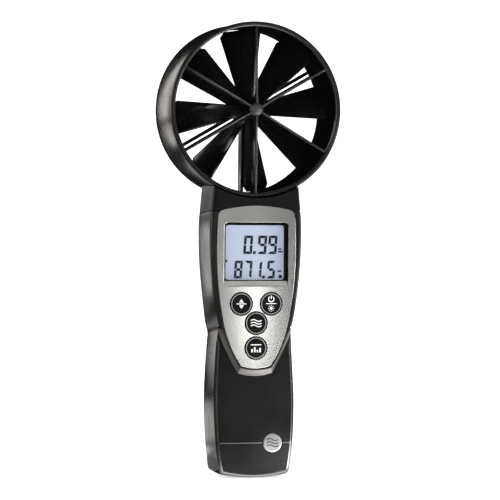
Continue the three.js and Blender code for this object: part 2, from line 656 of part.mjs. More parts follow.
function makeLeads() {
  lead('battery_lead_red', [[-5, 0, 62.8], [-6, -1.5, 66.5], [-7, -4.5, 70], [-7.5, -8.1, 72.5]], 0.8,
    finish(0xa02020, 0.5, 0));
  lead('battery_lead_black', [[5, 0, 62.8], [6, -1.5, 66.5], [7, -4.5, 70], [7.5, -8.1, 72.5]], 0.8,
    MATERIALS.rubber);
  lead('sensor_lead', [[0, 2, 155.2], [0, 1, 149], [2, -3, 143], [3, -8.1, 139]], 1.2, MATERIALS.rubber);
}

makeRing();
makeFrontGuard();
makeRearGuard();
makeImpeller();
makeBearings();
makeTemperatureBead();
makeNeck();
makeFrontHousing();
makeRearHousing();
makeScrews();
makeFaceplate();
makeDisplay();
makeKeys();
makeBoard();
makeBattery();
makeBatteryCover();
makeGripTrim();
makeLeads();

export default anemometer;
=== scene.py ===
# A handheld vane anemometer in a plain studio. Shapes are in millimetres until they become meshes.

from math import copysign, cos, exp, hypot, pi, radians, sin

import bmesh
import bpy
import numpy as np
from mathutils import Matrix, Vector


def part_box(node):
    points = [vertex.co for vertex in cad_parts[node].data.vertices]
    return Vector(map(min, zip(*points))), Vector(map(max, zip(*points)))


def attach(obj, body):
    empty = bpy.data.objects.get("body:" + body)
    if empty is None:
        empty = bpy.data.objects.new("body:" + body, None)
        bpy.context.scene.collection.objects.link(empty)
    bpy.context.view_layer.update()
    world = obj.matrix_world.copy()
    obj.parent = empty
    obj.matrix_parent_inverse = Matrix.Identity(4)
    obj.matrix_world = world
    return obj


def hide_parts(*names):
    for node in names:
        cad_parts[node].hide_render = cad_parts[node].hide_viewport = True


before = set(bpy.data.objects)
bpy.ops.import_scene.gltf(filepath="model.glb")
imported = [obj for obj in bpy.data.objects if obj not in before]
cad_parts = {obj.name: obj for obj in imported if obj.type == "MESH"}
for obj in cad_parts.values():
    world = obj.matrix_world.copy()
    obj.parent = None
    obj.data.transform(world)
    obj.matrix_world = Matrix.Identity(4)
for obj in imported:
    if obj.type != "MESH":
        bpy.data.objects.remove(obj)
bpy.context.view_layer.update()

# ---- sizes, from the frame

MM = 0.001


def node_box(node):
    """Lowest and highest corner of a CAD node, in millimetres."""
    low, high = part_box(node)
    return low / MM, high / MM


def node_centre(node):
    low, high = node_box(node)
    return (low + high) / 2


GUARD_LOW, GUARD_HIGH = node_box("front_guard")
REAR_HIGH = node_box("rear_guard")[1]
DUCT_LOW, DUCT_HIGH = node_box("vane_ring")
SHELL_LOW, SHELL_HIGH = node_box("front_housing")
TRIM_LOW, TRIM_HIGH = node_box("faceplate_trim")
PANE_LOW, PANE_HIGH = node_box("display_window")
LCD_LOW = node_box("lcd_module")[0]
COVER_LOW, COVER_HIGH = node_box("battery_cover")
LABEL_LOW, LABEL_HIGH = node_box("rear_label")
BADGE_LOW, BADGE_HIGH = node_box("badge")
BLADE_LOW, BLADE_HIGH = node_box("impeller")

GAP = 0.3
REACH = 60  # how far cutting shapes stand out
WHOLE_HEIGHT = (-10, 300)
RING_RADIUS = GUARD_HIGH.x
RING_Z = GUARD_HIGH.z - RING_RADIUS
RING_FRONT = -19.5
RING_STEPS = 256
RING_BACK = REAR_HIGH.y
DUCT_OUTER = DUCT_HIGH.x
DUCT_INNER = DUCT_OUTER - 2.2
HOOP_INNER = DUCT_INNER - 0.5
HOOP_DEPTH = 2.2
SPOKES = 6
SPOKE_HALF = 0.7
BLADES = 8
BLADE_START = 6.6
BLADE_PITCH = 44
BLADE_HALF = 0.45
IMPELLER_Y = (BLADE_LOW.y + BLADE_HIGH.y) / 2
HUB_RADIUS = 4.4
STEM_HALF = 9

FACE_Y = node_box("faceplate")[0].y
FACE_THICK = 1.2
SHELL_FRONT = SHELL_LOW.y
GRIP_AT_BADGE = -21.0
GRIP_WALL = 2.4
GRIP_CROWN = 0.45
GRIP_HALF = 25
STEP_TOP = 92.2
PARTING_Y = SHELL_HIGH.y
BACK_Y = node_box("rear_housing")[1].y
CAVITY_TOP = 157.2
DISPLAY_CAVITY = 94
SEAM_Z = 162.6
SEAM_SLOPE = 0.066
SEAM_GAP = 0.8
WAIST_Z = 90.7
WALL = 2.2
KEY_NODES = ("button_hold", "button_power", "button_flow", "button_mean")
KEY_RADIUS = 6.85
KEY_HOLE = 7.15
KEY_FACE = -22.07
WINDOW = (-20.2, 20.2, 116.6, 155.3)
WINDOW_CORNER = 2.6
SCREW_NODES = [n for n in sorted(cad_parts) if n.startswith("case_screw")]

# ---- node materials

METALLIC = 0.92  # a little less than 1 keeps satin metal from going black
PLASTIC_GRAIN, METAL_GRAIN = 0.00008, 0.00002
NOISE_LOW, NOISE_HIGH = 0.35, 0.65  # where most values of a noise lie


def set_inputs(node, values):
    """Sets a node's own sockets."""
    for name, value in values.items():
        node.inputs[name].default_value = value


def new_material(name, colour, roughness, metallic=0.0, alpha=1.0):
    """A Principled material and its node tree."""
    material = bpy.data.materials.new(name)
    material.use_nodes = True
    shader = material.node_tree.nodes["Principled BSDF"]
    set_inputs(shader, {"Base Color": (*colour, 1.0), "Roughness": roughness,
                        "Metallic": metallic, "Alpha": alpha})
    return material, shader


def noise(tree, scale, detail=2.0, stretch=(1, 1, 1)):
    """Noise in the object's own frame, scaled in cycles per metre."""
    coords = tree.nodes.new("ShaderNodeTexCoord")
    mapping = tree.nodes.new("ShaderNodeMapping")
    set_inputs(mapping, {"Scale": stretch})
    texture = tree.nodes.new("ShaderNodeTexNoise")
    set_inputs(texture, {"Scale": scale, "Detail": detail})
    tree.links.new(coords.outputs["Object"], mapping.inputs["Vector"])
    tree.links.new(mapping.outputs["Vector"], texture.inputs["Vector"])
    return texture.outputs["Fac"]


def vary_roughness(tree, shader, source, low, high):
    """Lets a noise move the roughness between two values."""
    ramp = tree.nodes.new("ShaderNodeMapRange")
    set_inputs(ramp, {"From Min": NOISE_LOW, "From Max": NOISE_HIGH, "To Min": low, "To Max": high})
    tree.links.new(source, ramp.inputs["Value"])
    tree.links.new(ramp.outputs["Result"], shader.inputs["Roughness"])


def vary_colour(tree, shader, source, dark, light):
    """Lets a noise move the colour between two values."""
    ramp = tree.nodes.new("ShaderNodeValToRGB")
    for stop, place, colour in zip(ramp.color_ramp.elements, (NOISE_LOW, NOISE_HIGH), (dark, light)):
        stop.position = place
        stop.color = (*colour, 1)
    tree.links.new(source, ramp.inputs["Fac"])
    tree.links.new(ramp.outputs["Color"], shader.inputs["Base Color"])


def add_bump(tree, shader, source, strength, distance):
    bump = tree.nodes.new("ShaderNodeBump")
    set_inputs(bump, {"Strength": strength, "Distance": distance})
    tree.links.new(source, bump.inputs["Height"])
    tree.links.new(bump.outputs["Normal"], shader.inputs["Normal"])


def plastic(name, colour, roughness, grain=0.0, grain_scale=2500, spread=0.05, gloss=0.5):
    """Moulded plastic: slow drift in colour and gloss, with a fine moulded grain."""
    material, shader = new_material(name, colour, roughness)
    tree = material.node_tree
    drift = noise(tree, 45, 3)
    vary_roughness(tree, shader, drift, roughness - spread, roughness + spread)
    vary_colour(tree, shader, drift, [c * 0.85 for c in colour], [c * 1.15 for c in colour])
    set_inputs(shader, {"Specular IOR Level": gloss})
    if grain:
        add_bump(tree, shader, noise(tree, grain_scale), grain, PLASTIC_GRAIN)
    return material


def metal(name, colour, roughness, grain=0.08, stretch=(1, 1, 1), grain_scale=3000, spread=0.05):
    """Satin metal or metallic paint: fine flake or brush marks, and a slow drift in gloss."""
    material, shader = new_material(name, colour, roughness, METALLIC)
    tree = material.node_tree
    flake = noise(tree, grain_scale, 2, stretch)
    vary_roughness(tree, shader, noise(tree, 40), roughness - spread / 2, roughness + spread / 2)
    vary_colour(tree, shader, flake, [c * (1 - 1.5 * spread) for c in colour],
                [min(1, c * (1 + spread)) for c in colour])
    add_bump(tree, shader, flake, grain, METAL_GRAIN)
    return material


def glow(name, colour, strength):
    """A pale panel that is lit from behind, a little uneven."""
    material, shader = new_material(name, colour, 0.4)
    tree = material.node_tree
    patch = noise(tree, 30, 1)
    vary_colour(tree, shader, patch, [c * 0.94 for c in colour], [min(1, c * 1.04) for c in colour])
    set_inputs(shader, {"Emission Color": (*colour, 1.0), "Emission Strength": strength})
    return material


def clear(name, colour, alpha):
    """Clear plastic: what is behind it shows, and the lights reflect in it."""
    material, shader = new_material(name, colour, 0.05, alpha=alpha)
    tree = material.node_tree
    vary_roughness(tree, shader, noise(tree, 60), 0.03, 0.08)
    return material


MATERIALS = {
    "case": plastic("case_black", (0.0068, 0.0060, 0.0055), 0.22, 0.15, 1800, 0.05, 0.45),
    "grip": plastic("grip_panel", (0.0030, 0.0028, 0.0026), 0.36, 1.0, 700, 0.06, 0.19),
    # inner: darker than the case and with no gloss, painted shade on the duct's inner wall
    "inner": plastic("duct_lining", (0.0035, 0.0032, 0.0030), 0.80, 0.3, 1800, 0.04, 0.0),
    # rim: a paler metal finish on narrow edge faces, a painted highlight along edges where the black
    # plastic catches the light
    "rim": metal("painted_edge_highlight", (0.15, 0.145, 0.14), 0.26, 0.05),
    "gloss": plastic("gloss_black", (0.0055, 0.0050, 0.0047), 0.16, 0.05, 1200, 0.03, 0.6),
    "nose": plastic("nose_black", (0.034, 0.032, 0.030), 0.38, 0.03, 1200, 0.03, 1.0),
    "key": plastic("key_black", (0.0035, 0.0035, 0.0035), 0.26, 0.1, 2500, 0.04, 0.12),
    # A pale grey ring on each key, a painted highlight in place of the light on the cap's edge.
    "key_line": plastic("key_line", (0.22, 0.22, 0.22), 0.35, 0.1, 2500, 0.04, 0.4),
    "silver": metal("silver_plate", (0.70, 0.69, 0.665), 0.215, 0.002, (1, 1, 1), 900, 0.02),
    "sill": plastic("window_sill", (0.36, 0.355, 0.34), 0.35, 0.05, 2500, 0.04),
    "badge": metal("badge_disc", (0.26, 0.26, 0.26), 0.30, 0.12, (30, 1, 1), 1500),
    "trim": metal("trim_band", (0.105, 0.10, 0.095), 0.36, 0.1),
    "inlay": plastic("inlay_line", (0.045, 0.044, 0.042), 0.35, 0.1, 2500, 0.04, 0.4),
    "mark": plastic("print_white", (0.75, 0.75, 0.74), 0.5),
    "digit": plastic("lcd_segment", (0.007, 0.009, 0.018), 0.5, gloss=0.1),
    "lcd": glow("lcd_panel", (0.41, 0.455, 0.59), 0.13),
    "white": plastic("light_guide", (0.80, 0.82, 0.84), 0.4),
    "board": plastic("solder_mask", (0.02, 0.12, 0.05), 0.35, 0.3, 900),
    "part": plastic("component_black", (0.015, 0.015, 0.015), 0.5, 0.2, 2000),
    "rubber": plastic("black_rubber", (0.018, 0.018, 0.018), 0.75, 0.5, 2200),
    "foam": plastic("dark_foam", (0.04, 0.04, 0.042), 0.95, 1.0, 1500),
    "red": plastic("red_wire", (0.30, 0.015, 0.012), 0.45, 0.1),
    "wrap": plastic("battery_wrap", (0.035, 0.045, 0.075), 0.28, 0.1),
    "steel": metal("zinc_steel", (0.56, 0.57, 0.58), 0.3, 0.15),
    "brass": metal("turned_brass", (0.72, 0.52, 0.24), 0.25, 0.1),
    "label": metal("blank_plate", (0.46, 0.46, 0.46), 0.4, 0.1, (1, 1, 30), 1500),
    "pane": clear("clear_window", (0.02, 0.02, 0.025), 0.10),
}

# ---- mesh tools


def linked(name, data):
    obj = bpy.data.objects.new(name, data)
    bpy.context.scene.collection.objects.link(obj)
    return obj


def clean(mesh, distance):
    """Joins the points that are closer than the distance, and turns the faces outwards."""
    cleaned = bmesh.new()
    cleaned.from_mesh(mesh)
    bmesh.ops.remove_doubles(cleaned, verts=cleaned.verts, dist=distance)
    bmesh.ops.recalc_face_normals(cleaned, faces=cleaned.faces)
    cleaned.to_mesh(mesh)
    cleaned.free()


def new_object(name, verts, faces):
    """A mesh object from points in millimetres."""
    mesh = bpy.data.meshes.new(name)
    mesh.from_pydata([tuple(c * MM for c in v) for v in verts], [], faces)
    clean(mesh, 1e-7)
    return linked(name, mesh)


def evaluated(obj):
    depsgraph = bpy.context.evaluated_depsgraph_get()
    return bpy.data.meshes.new_from_object(obj.evaluated_get(depsgraph))


def bake(obj):
    """Applies the object's modifiers to its mesh."""
    mesh = evaluated(obj)
    obj.modifiers.clear()
    old, obj.data = obj.data, mesh
    bpy.data.meshes.remove(old)
    return obj


def combine(obj, others, operation="DIFFERENCE"):
    """Cuts the others from obj, or joins them to it, and removes them."""
    for other in others:
        modifier = obj.modifiers.new("combine", "BOOLEAN")
        modifier.operation = operation
        modifier.object = other
        modifier.solver = "MANIFOLD"
        bake(obj)
        bpy.data.objects.remove(other)
    return obj


def rounded(obj, width, segments=2, angle=30):
    """Rounds the edges that are sharper than the angle."""
    modifier = obj.modifiers.new("round", "BEVEL")
    modifier.width = width * MM
    modifier.segments = segments
    modifier.limit_method = "ANGLE"
    modifier.angle_limit = radians(angle)
    return bake(obj)


def smooth(mesh):
    mesh.polygons.foreach_set("use_smooth", [True] * len(mesh.polygons))


def piece(obj, material, replaces=(), sharp=38, body="instrument"):
    """Finishes a piece: smooth faces, material, body, slot and the nodes it stands for."""
    obj.data.materials.clear()
    obj.data.materials.append(MATERIALS[material])
    smooth(obj.data)
    obj.data.set_sharp_from_angle(angle=radians(sharp))
    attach(obj, body)
    if replaces:
        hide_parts(*replaces)
    return obj


def paint(obj, material, wanted):
    """Gives the faces for which wanted(middle in millimetres, normal) holds a second material."""
    obj.data.materials.append(MATERIALS[material])
    slot = len(obj.data.materials) - 1
    for face in obj.data.polygons:
        if wanted(face.center / MM, face.normal):
            face.material_index = slot


def ring_faces(rings, count):
    """Faces of a solid through rings of count points: its two ends, then its walls."""
    ends = [tuple(range(count)), tuple(range((rings - 1) * count, rings * count))]
    return ends + [(a + i, a + (i + 1) % count, a + count + (i + 1) % count, a + count + i)
                   for a in range(0, (rings - 1) * count, count) for i in range(count)]


def block(name, xs, ys, zs):
    """A box from its lowest and highest x, y and z."""
    verts = [(x, y, z) for x in xs for y in ys for z in zs]
    faces = [(0, 1, 3, 2), (4, 6, 7, 5), (0, 4, 5, 1), (2, 3, 7, 6), (0, 2, 6, 4), (1, 5, 7, 3)]
    return new_object(name, verts, faces)


def bar(name, section, left=-REACH, right=REACH):
    """A bar along X with its section given as (y, z) points."""
    verts = [(x, y, z) for x in (left, right) for y, z in section]
    return new_object(name, verts, ring_faces(2, len(section)))


def turned(name, profile, x, z, steps=96):
    """Turns (radius, y) points about the line along Y through (x, z). The profile closes itself."""
    verts, faces = [], []
    count = len(profile)
    for i in range(steps):
        angle = 2 * pi * i / steps
        c, s = cos(angle), sin(angle)
        verts += [(x + r * c, y, z + r * s) for r, y in profile]
        a, b = i * count, (i + 1) % steps * count
        for j in range(count):
            k = (j + 1) % count
            off_axis = [b + n for n in (k, j) if profile[n][0] > 1e-9]
            if off_axis:
                faces.append([a + j, a + k] + off_axis)
    return new_object(name, verts, faces)


def arc(cx, cy, radius, start, end, steps):
    """Points on an arc, with angles in degrees."""
    angles = [radians(start + (end - start) * i / steps) for i in range(steps + 1)]
    return [(cx + radius * cos(a), cy + radius * sin(a)) for a in angles]


def circle(x, z, radius, steps=64):
    return arc(x, z, radius, 0, 360, steps)[:-1]


def rounded_box(left, right, bottom, top, corner, steps=8):
    return (arc(right - corner, bottom + corner, corner, -90, 0, steps)
            + arc(right - corner, top - corner, corner, 0, 90, steps)
            + arc(left + corner, top - corner, corner, 90, 180, steps)
            + arc(left + corner, bottom + corner, corner, 180, 270, steps))


def plate(name, outlines, front, back, edge=0.15, edge_steps=2):
    """A flat plate with its outlines in the X-Z plane: the first is the rim, the others are holes."""
    curve = bpy.data.curves.new(name, "CURVE")
    curve.dimensions = "2D"
    curve.fill_mode = "BOTH"
    curve.extrude = ((back - front) / 2 - edge) * MM
    curve.bevel_depth = edge * MM
    curve.bevel_resolution = edge_steps
    curve.offset = -edge * MM
    for outline in outlines:
        spline = curve.splines.new("POLY")
        spline.points.add(len(outline) - 1)
        spline.points.foreach_set("co", [c for x, z in outline for c in (x * MM, z * MM, 0, 1)])
        spline.use_cyclic_u = True
    flat = linked(name, curve)
    mesh = evaluated(flat)
    bpy.data.objects.remove(flat)
    bpy.data.curves.remove(curve)
    middle = (front + back) / 2 * MM
    mesh.transform(Matrix.Translation((0, middle, 0)) @ Matrix.Rotation(pi / 2, 4, "X"))
    clean(mesh, 2e-6)
    return linked(name, mesh)


def flat_cutter(outlines, front, back):
    """A sharp-edged plate that another shape is cut with."""
    return plate("cutter", outlines, front, back, 0, 0)


def loft(name, levels):
    """A solid through outlines of equal point counts, given as (y, points) from front to back."""
    verts = [(x, y, z) for y, points in levels for x, z in points]
    return new_object(name, verts, ring_faces(len(levels), len(levels[0][1])))


def turn_about_ring(obj, degrees):
    """Turns a mesh about the ring's axis, anticlockwise as seen from the front."""
    to_axis = Matrix.Translation((0, 0, -RING_Z * MM))
    turn = Matrix.Rotation(-radians(degrees), 4, "Y")
    obj.data.transform(to_axis.inverted() @ turn @ to_axis)
    return obj


# ---- handle outline

STATIONS = [
    (4.6, 22.4), (20, 24.5), (44, 25.6), (62, 25.1), (80, 24.1), (87.5, 23.4), (WAIST_Z, 22.9),
    (94, 23.6), (100, 24.9), (114, 26.9), (130, 28.4), (146, 29.0), (156, 28.8), (SEAM_Z, 28.3),
    (182, 26.5),
]
FOOT_SAG = 4.0
WAIST_DROP, WAIST_SPREAD = 4.3, 14
GRIP_DRAFT, GRIP_DRAFT_TOP, GRIP_DRAFT_FOOT = 0.7, 10, 12
WALL_CROWN = 0.5


def station_samples(per_span=40):
    """Heights and half-widths along a Catmull-Rom curve through the stations."""
    points = np.array(STATIONS, float)
    padded = np.vstack([points[0], points, points[-1]])
    samples = []
    for i in range(len(points) - 1):
        p0, p1, p2, p3 = padded[i:i + 4]
        for t in np.arange(per_span) / per_span:
            v0, v1 = (p2 - p0) / 2, (p3 - p1) / 2
            samples.append((2 * p1 - 2 * p2 + v0 + v1) * t ** 3
                           + (-3 * p1 + 3 * p2 - 2 * v0 - v1) * t ** 2 + v0 * t + p1)
    samples.append(points[-1])
    return np.array(samples).T


HEIGHTS, HALF_WIDTHS = station_samples()


def half_width(z, depth=0.0):
    """Half the handle's width. Towards the back, depth 1, the waist drops and the grip narrows."""
    near_waist = exp(-((z - WAIST_Z) / WAIST_SPREAD) ** 2)
    in_grip = (min(max((WAIST_Z - z) / GRIP_DRAFT_TOP, 0), 1)
               * min(max(z / GRIP_DRAFT_FOOT, 0), 1))
    half = float(np.interp(z + WAIST_DROP * depth * near_waist, HEIGHTS, HALF_WIDTHS))
    return half - GRIP_DRAFT * depth * in_grip


def both_sides(right_half):
    """A closed outline from its right half, listed from bottom to top."""
    left_half = [(-x, z) for x, z in reversed(right_half) if x > 1e-6]
    return list(right_half) + left_half


def handle_points(bottom, top, inset=0.0, steps=64, depth=0.0):
    """The handle's outline between two heights, pulled in by inset, with a curved foot at zero."""
    half = []
    if bottom <= 0:
        foot = half_width(FOOT_SAG) - inset
        for i in range(12):
            x = (foot - 2.5) * i / 11
            half.append((x, inset + (FOOT_SAG - 1.4) * (x / foot) ** 2))
        half += [(foot - 1.4, inset + FOOT_SAG - 1.35), (foot - 0.5, inset + FOOT_SAG - 0.55)]
        start = FOOT_SAG + 1.4 + inset
    else:
        half.append((0, bottom))
        start = bottom
    for i in range(steps + 1):
        z = start + (top - start) * i / steps
        half.append((half_width(z, depth) - inset, z))
    half.append((0, top))
    return both_sides(half)


def handle_body(name, bottom, top, front_rim=1.8, back_rim=5.0, steps=64):
    """The handle's body between two heights, with rounded front and back edges."""
    levels = []

    def level(y, inset):
        depth = (y - SHELL_FRONT) / (BACK_Y - SHELL_FRONT)
        levels.append((y, handle_points(bottom, top, inset + wall_fall(y), steps, depth)))

    for i in range(7):
        angle = radians(90 - 15 * i)
        level(SHELL_FRONT + front_rim * (1 - sin(angle)), front_rim * (1 - cos(angle)))
    for y in (-17, -14, -11, -8, -5, -2, 1, 4, 7):
        level(y, 0)
    for i in range(9):
        angle = radians(11.25 * i)
        level(BACK_Y - back_rim * (1 - sin(angle)), back_rim * (1 - cos(angle)))
    return loft(name, levels)


def wall_fall(y):
    """How far the side walls curve in towards the front and the back."""
    return WALL_CROWN * ((y + 4) / 17.7) ** 2


def handle_shape(name):
    """The whole handle below the seam, solid."""
    return combine(handle_body(name, 0, SEAM_Z + 4), [above_seam(SEAM_GAP)])


def seam_z(y):
    """Height of the slanting seam between neck and handle."""
    return SEAM_Z - SEAM_SLOPE * (y - SHELL_FRONT)


def above_seam(drop):
    """All that lies above the seam, lowered by drop."""
    return bar("cutter", [(-REACH, seam_z(-REACH) - drop), (REACH, seam_z(REACH) - drop),
                          (REACH, 300), (-REACH, 300)])


def below_seam():
    """What lies below the seam, down to the middle of the handle."""
    return bar("cutter", [(-REACH, 100), (REACH, 100), (REACH, seam_z(REACH)), (-REACH, seam_z(-REACH))])


GRIP_PROFILE = [
    (-21.5, -10), (-21.4, 8), (GRIP_AT_BADGE, 21.6), (-20.4, 33), (-19.7, 45), (-19.1, 56), (-18.5, 66),
    (-18.15, 76), (-18.1, STEP_TOP),
]


def grip_fall(x):
    """How far the grip's face falls back towards its sides."""
    return GRIP_CROWN * (min(abs(x), GRIP_HALF + 1) / GRIP_HALF) ** 2


def loft_along_x(sections):
    """A solid through sections of (y, z) points, given as (x, points)."""
    obj = loft("cutter", sections)
    turn = Matrix(((0, 1, 0, 0), (1, 0, 0, 0), (0, 0, 1, 0), (0, 0, 0, 1)))
    obj.data.transform(turn)
    obj.data.flip_normals()
    return obj


def grip_front(z):
    """Y of the grip's face on the middle line."""
    return float(np.interp(z, [p[1] for p in GRIP_PROFILE], [p[0] for p in GRIP_PROFILE]))


def off_grip(at):
    """How far a point is from the grip's face."""
    return abs(at.y - grip_front(at.z) - grip_fall(at.x))


GRIP_EDGE_TOP = 89.6
GRIP_FADE, GRIP_FADE_HEIGHT = 2.4, 9


def with_normals(points):
    """The points of an open line, each with the unit normal on its left."""
    for i, (x, z) in enumerate(points):
        x0, z0 = points[max(i - 1, 0)]
        x1, z1 = points[min(i + 1, len(points) - 1)]
        length = hypot(x1 - x0, z1 - z0)
        yield x, z, -(z1 - z0) / length, (x1 - x0) / length


def grip_edge():
    """The grip's outline as points and inward normals, from upper left round to upper right."""
    around = handle_points(0, GRIP_EDGE_TOP - 0.2, 0, 64, 0.06)
    half = len(around) // 2 + 1
    path = [p for p in around[half:] + around[:half] if abs(p[0]) > 1 or p[1] < 50]
    edge = []
    for x, z, nx, nz in with_normals(path):
        inset = wall_fall(grip_front(z)) * min(abs(x) / 20, 1)
        edge.append((x + nx * inset, z + nz * inset, nx, nz))
    return edge


def sweep_along_grip(section):
    """A solid along the grip's edge, which runs out of the handle at its upper ends.

    The section lists (distance inwards, depth below the grip's face).
    """
    verts = []
    for x, z, nx, nz in grip_edge():
        fade = GRIP_FADE * max(0, 1 - (GRIP_EDGE_TOP - z) / GRIP_FADE_HEIGHT)
        face = grip_front(z) + grip_fall(x)
        verts += [(x + nx * (inwards - fade), face + depth, z + nz * (inwards - fade))
                  for inwards, depth in section]
    return new_object("cutter", verts, ring_faces(len(verts) // len(section), len(section)))


TRIM_OUTER = [
    (0, 62.1), (5.4, 62.5), (10.7, 63.8), (14.3, 69.8), (18.0, 77.1), (21.2, 84.4), (22.6, 88.1),
    (22.8, 90.8),
]
TRIM_INNER = [
    (0, 66.1), (4.9, 66.4), (9.6, 67.3), (12.2, 71.4), (15.3, 77.2), (18.4, 84.4), (20.0, 88.5),
    (21.2, 90.8),
]
PLATE_HALF = [
    (0, 66.9), (2.4, 67.0), (4.8, 67.3), (7.1, 67.8), (9.2, 68.5), (9.6, 68.9), (12.6, 73.6),
    (14.5, 77.2), (16.2, 80.9), (17.5, 84.6), (18.8, 88.2), (19.7, 91.9), (20.5, 95.6),
    (21.2, 99.6), (22.5, 107.2), (23.4, 114.4), (24.1, 121.7), (24.6, 130), (24.8, 140),
    (24.4, 154.2), (24.1, 158.6), (23.8, 160.2), (23.1, 161.5), (22.0, 162.5), (20.6, 163.0),
    (16.0, 164.0), (8.0, 165.1), (0, 165.5),
]


def plate_outline(grow=0.0):
    """The silver plate's outline, grown outwards, and up or down at its two ends."""
    middle, upper_end, lower_end = 116, 160, 70
    half = []
    for x, z in PLATE_HALF:
        outward = grow if x else 0
        away = copysign(grow, z - middle) if z > upper_end or z < lower_end else 0
        half.append((x + outward, z + away))
    return both_sides(half)


def key_centres():
    return [(node_centre(n).x, node_centre(n).z) for n in KEY_NODES]


# ---- vane head


def from_axis(at):
    """Distance from the ring's axis."""
    return hypot(at.x, at.z - RING_Z)


def make_duct():
    """The ring-shaped duct, its inner wall darker and without gloss as painted shade, and the stem that
    plugs into the neck.
    """
    front = RING_FRONT + HOOP_DEPTH + GAP
    back = RING_BACK - HOOP_DEPTH - GAP
    edge = 0.6
    profile = ([(DUCT_INNER, front), (DUCT_OUTER - edge, front)]
               + arc(DUCT_OUTER - edge, front + edge, edge, -90, 0, 4)
               + arc(DUCT_OUTER - edge, back - edge, edge, 0, 90, 4)
               + [(DUCT_INNER, back)])
    duct = turned("vane_ring_shell", profile, 0, RING_Z, RING_STEPS)
    across = (-STEM_HALF, STEM_HALF)
    stem = block("stem", across, across, (DUCT_LOW.z, RING_Z - DUCT_INNER - 1.2))
    combine(duct, [stem], "UNION")
    piece(duct, "case", ["vane_ring"])
    # The duct's inner wall gets the darker, glossless finish: painted shade.
    paint(duct, "inner", lambda at, normal: (
        normal.x * at.x + normal.z * (at.z - RING_Z) < -0.5 * DUCT_INNER))


def spoke_plate(corners):
    """A thin plate out from the ring's axis, from (radius, y) corners, with rounded edges."""
    verts = [(r, y, RING_Z + side * SPOKE_HALF) for side in (-1, 1) for r, y in corners]
    return rounded(new_object("spoke", verts, ring_faces(2, len(corners))), 0.25, 2)


def make_guard(name, node, hoop, corners, hub):
    """A hoop with spokes and a hub. The edges that catch the light in front get a paler metal finish: a
    painted highlight.
    """
    guard = turned(name, hoop, 0, RING_Z, RING_STEPS)
    spokes = [turn_about_ring(spoke_plate(corners), 30 + i * 360 / SPOKES) for i in range(SPOKES)]
    combine(guard, spokes + [hub], "UNION")
    piece(guard, "case", [node])
    # Spoke front edges and the hoop's inner flank get the paler finish: painted highlight lines.
    paint(guard, "rim", lambda at, normal: (
        normal.y < -0.9 and at.y < -18 and 5 < from_axis(at) < HOOP_INNER - 0.5
        or normal.y < -0.3 and 0.05 < from_axis(at) - HOOP_INNER < 0.7))


def make_guards():
    back = RING_FRONT + HOOP_DEPTH
    bead = (RING_RADIUS - HOOP_INNER) / 2
    hoop = ([(HOOP_INNER, back)] + arc(HOOP_INNER + bead, RING_FRONT + bead, bead, 180, 360, 18)
            + [(RING_RADIUS, back - 0.35), (RING_RADIUS - 0.5, back - 0.35), (RING_RADIUS - 0.5, back)])
    corners = [(2, -20.6), (HOOP_INNER + 0.3, -18.6), (HOOP_INNER + 0.1, -10.6), (2, -8.4)]
    nose_profile = [(0, -17.5), (3.1, -17.5), (3.4, -17.2), (3.4, -8.0), (0, -8.0)]
    nose = turned("nose", nose_profile, 0, RING_Z, 64)
    make_guard("front_guard_shell", "front_guard", hoop, corners, nose)
    dome = turned("nose_dome", [(0, GUARD_LOW.y)] + arc(0, GUARD_LOW.y + 4.0, 4.0, -84, 0, 14)
                  + [(4.0, -17.4), (0, -17.4)], 0, RING_Z, 64)
    piece(dome, "nose")

    front = RING_BACK - HOOP_DEPTH
    hoop = ([(HOOP_INNER, front), (RING_RADIUS, front)]
            + arc(RING_RADIUS - 0.8, RING_BACK - 0.8, 0.8, 0, 90, 5)
            + arc(HOOP_INNER + 0.5, RING_BACK - 0.5, 0.5, 90, 180, 4))
    corners = [(2, 11.4), (HOOP_INNER + 0.1, 13.4), (HOOP_INNER + 0.3, 21.6), (2, 21.6)]
    barrel_profile = [(0, 11.0), (3.9, 11.0), (3.9, 20.4)] + arc(2.6, 20.5, 1.3, 0, 90, 5) + [(0, 21.8)]
    barrel = turned("barrel", barrel_profile, 0, RING_Z, 64)
    make_guard("rear_guard_shell", "rear_guard", hoop, corners, barrel)


def make_blade():
    """One flat blade with clipped tip corners, pitched about its own length."""
    half = [(3, 4.2), (46.0, 14.2), (49.3, 11.0)]
    outline = half + [(r, -c) for r, c in reversed(half)]
    verts = [(r, side * BLADE_HALF, c) for side in (-1, 1) for r, c in outline]
    blade = rounded(new_object("blade", verts, ring_faces(2, len(outline))), 0.22, 2)
    pitch = Matrix.Rotation(-radians(BLADE_PITCH), 4, "X")
    blade.data.transform(Matrix.Translation((0, IMPELLER_Y * MM, RING_Z * MM)) @ pitch)
    return blade


def make_impeller():
    front, back = IMPELLER_Y - 8.6, IMPELLER_Y + 8.6
    profile = ([(0, front), (3.2, front)] + arc(HUB_RADIUS - 1.2, front + 1.4, 1.2, -60, 0, 4)
               + arc(HUB_RADIUS - 1.2, back - 1.4, 1.2, 0, 60, 4) + [(3.2, back), (0, back)])
    hub = turned("impeller_blades", profile, 0, RING_Z, 64)
    blades = [turn_about_ring(make_blade(), BLADE_START + i * 360 / BLADES)
              for i in range(BLADES)]
    combine(hub, blades, "UNION")
    piece(hub, "gloss", ["impeller"], body="impeller")


# ---- neck and shells


def cutter_block(ys, zs):
    return block("cutter", (-REACH, REACH), ys, zs)


def stem_well():
    """Room for the ring's stem."""
    across = (-STEM_HALF - 0.4, STEM_HALF + 0.4)
    return block("cutter", across, across, (140, 190))


def plate_bed():
    """Room for the silver plate."""
    return flat_cutter([plate_outline(GAP)], -REACH, FACE_Y + FACE_THICK + GAP)


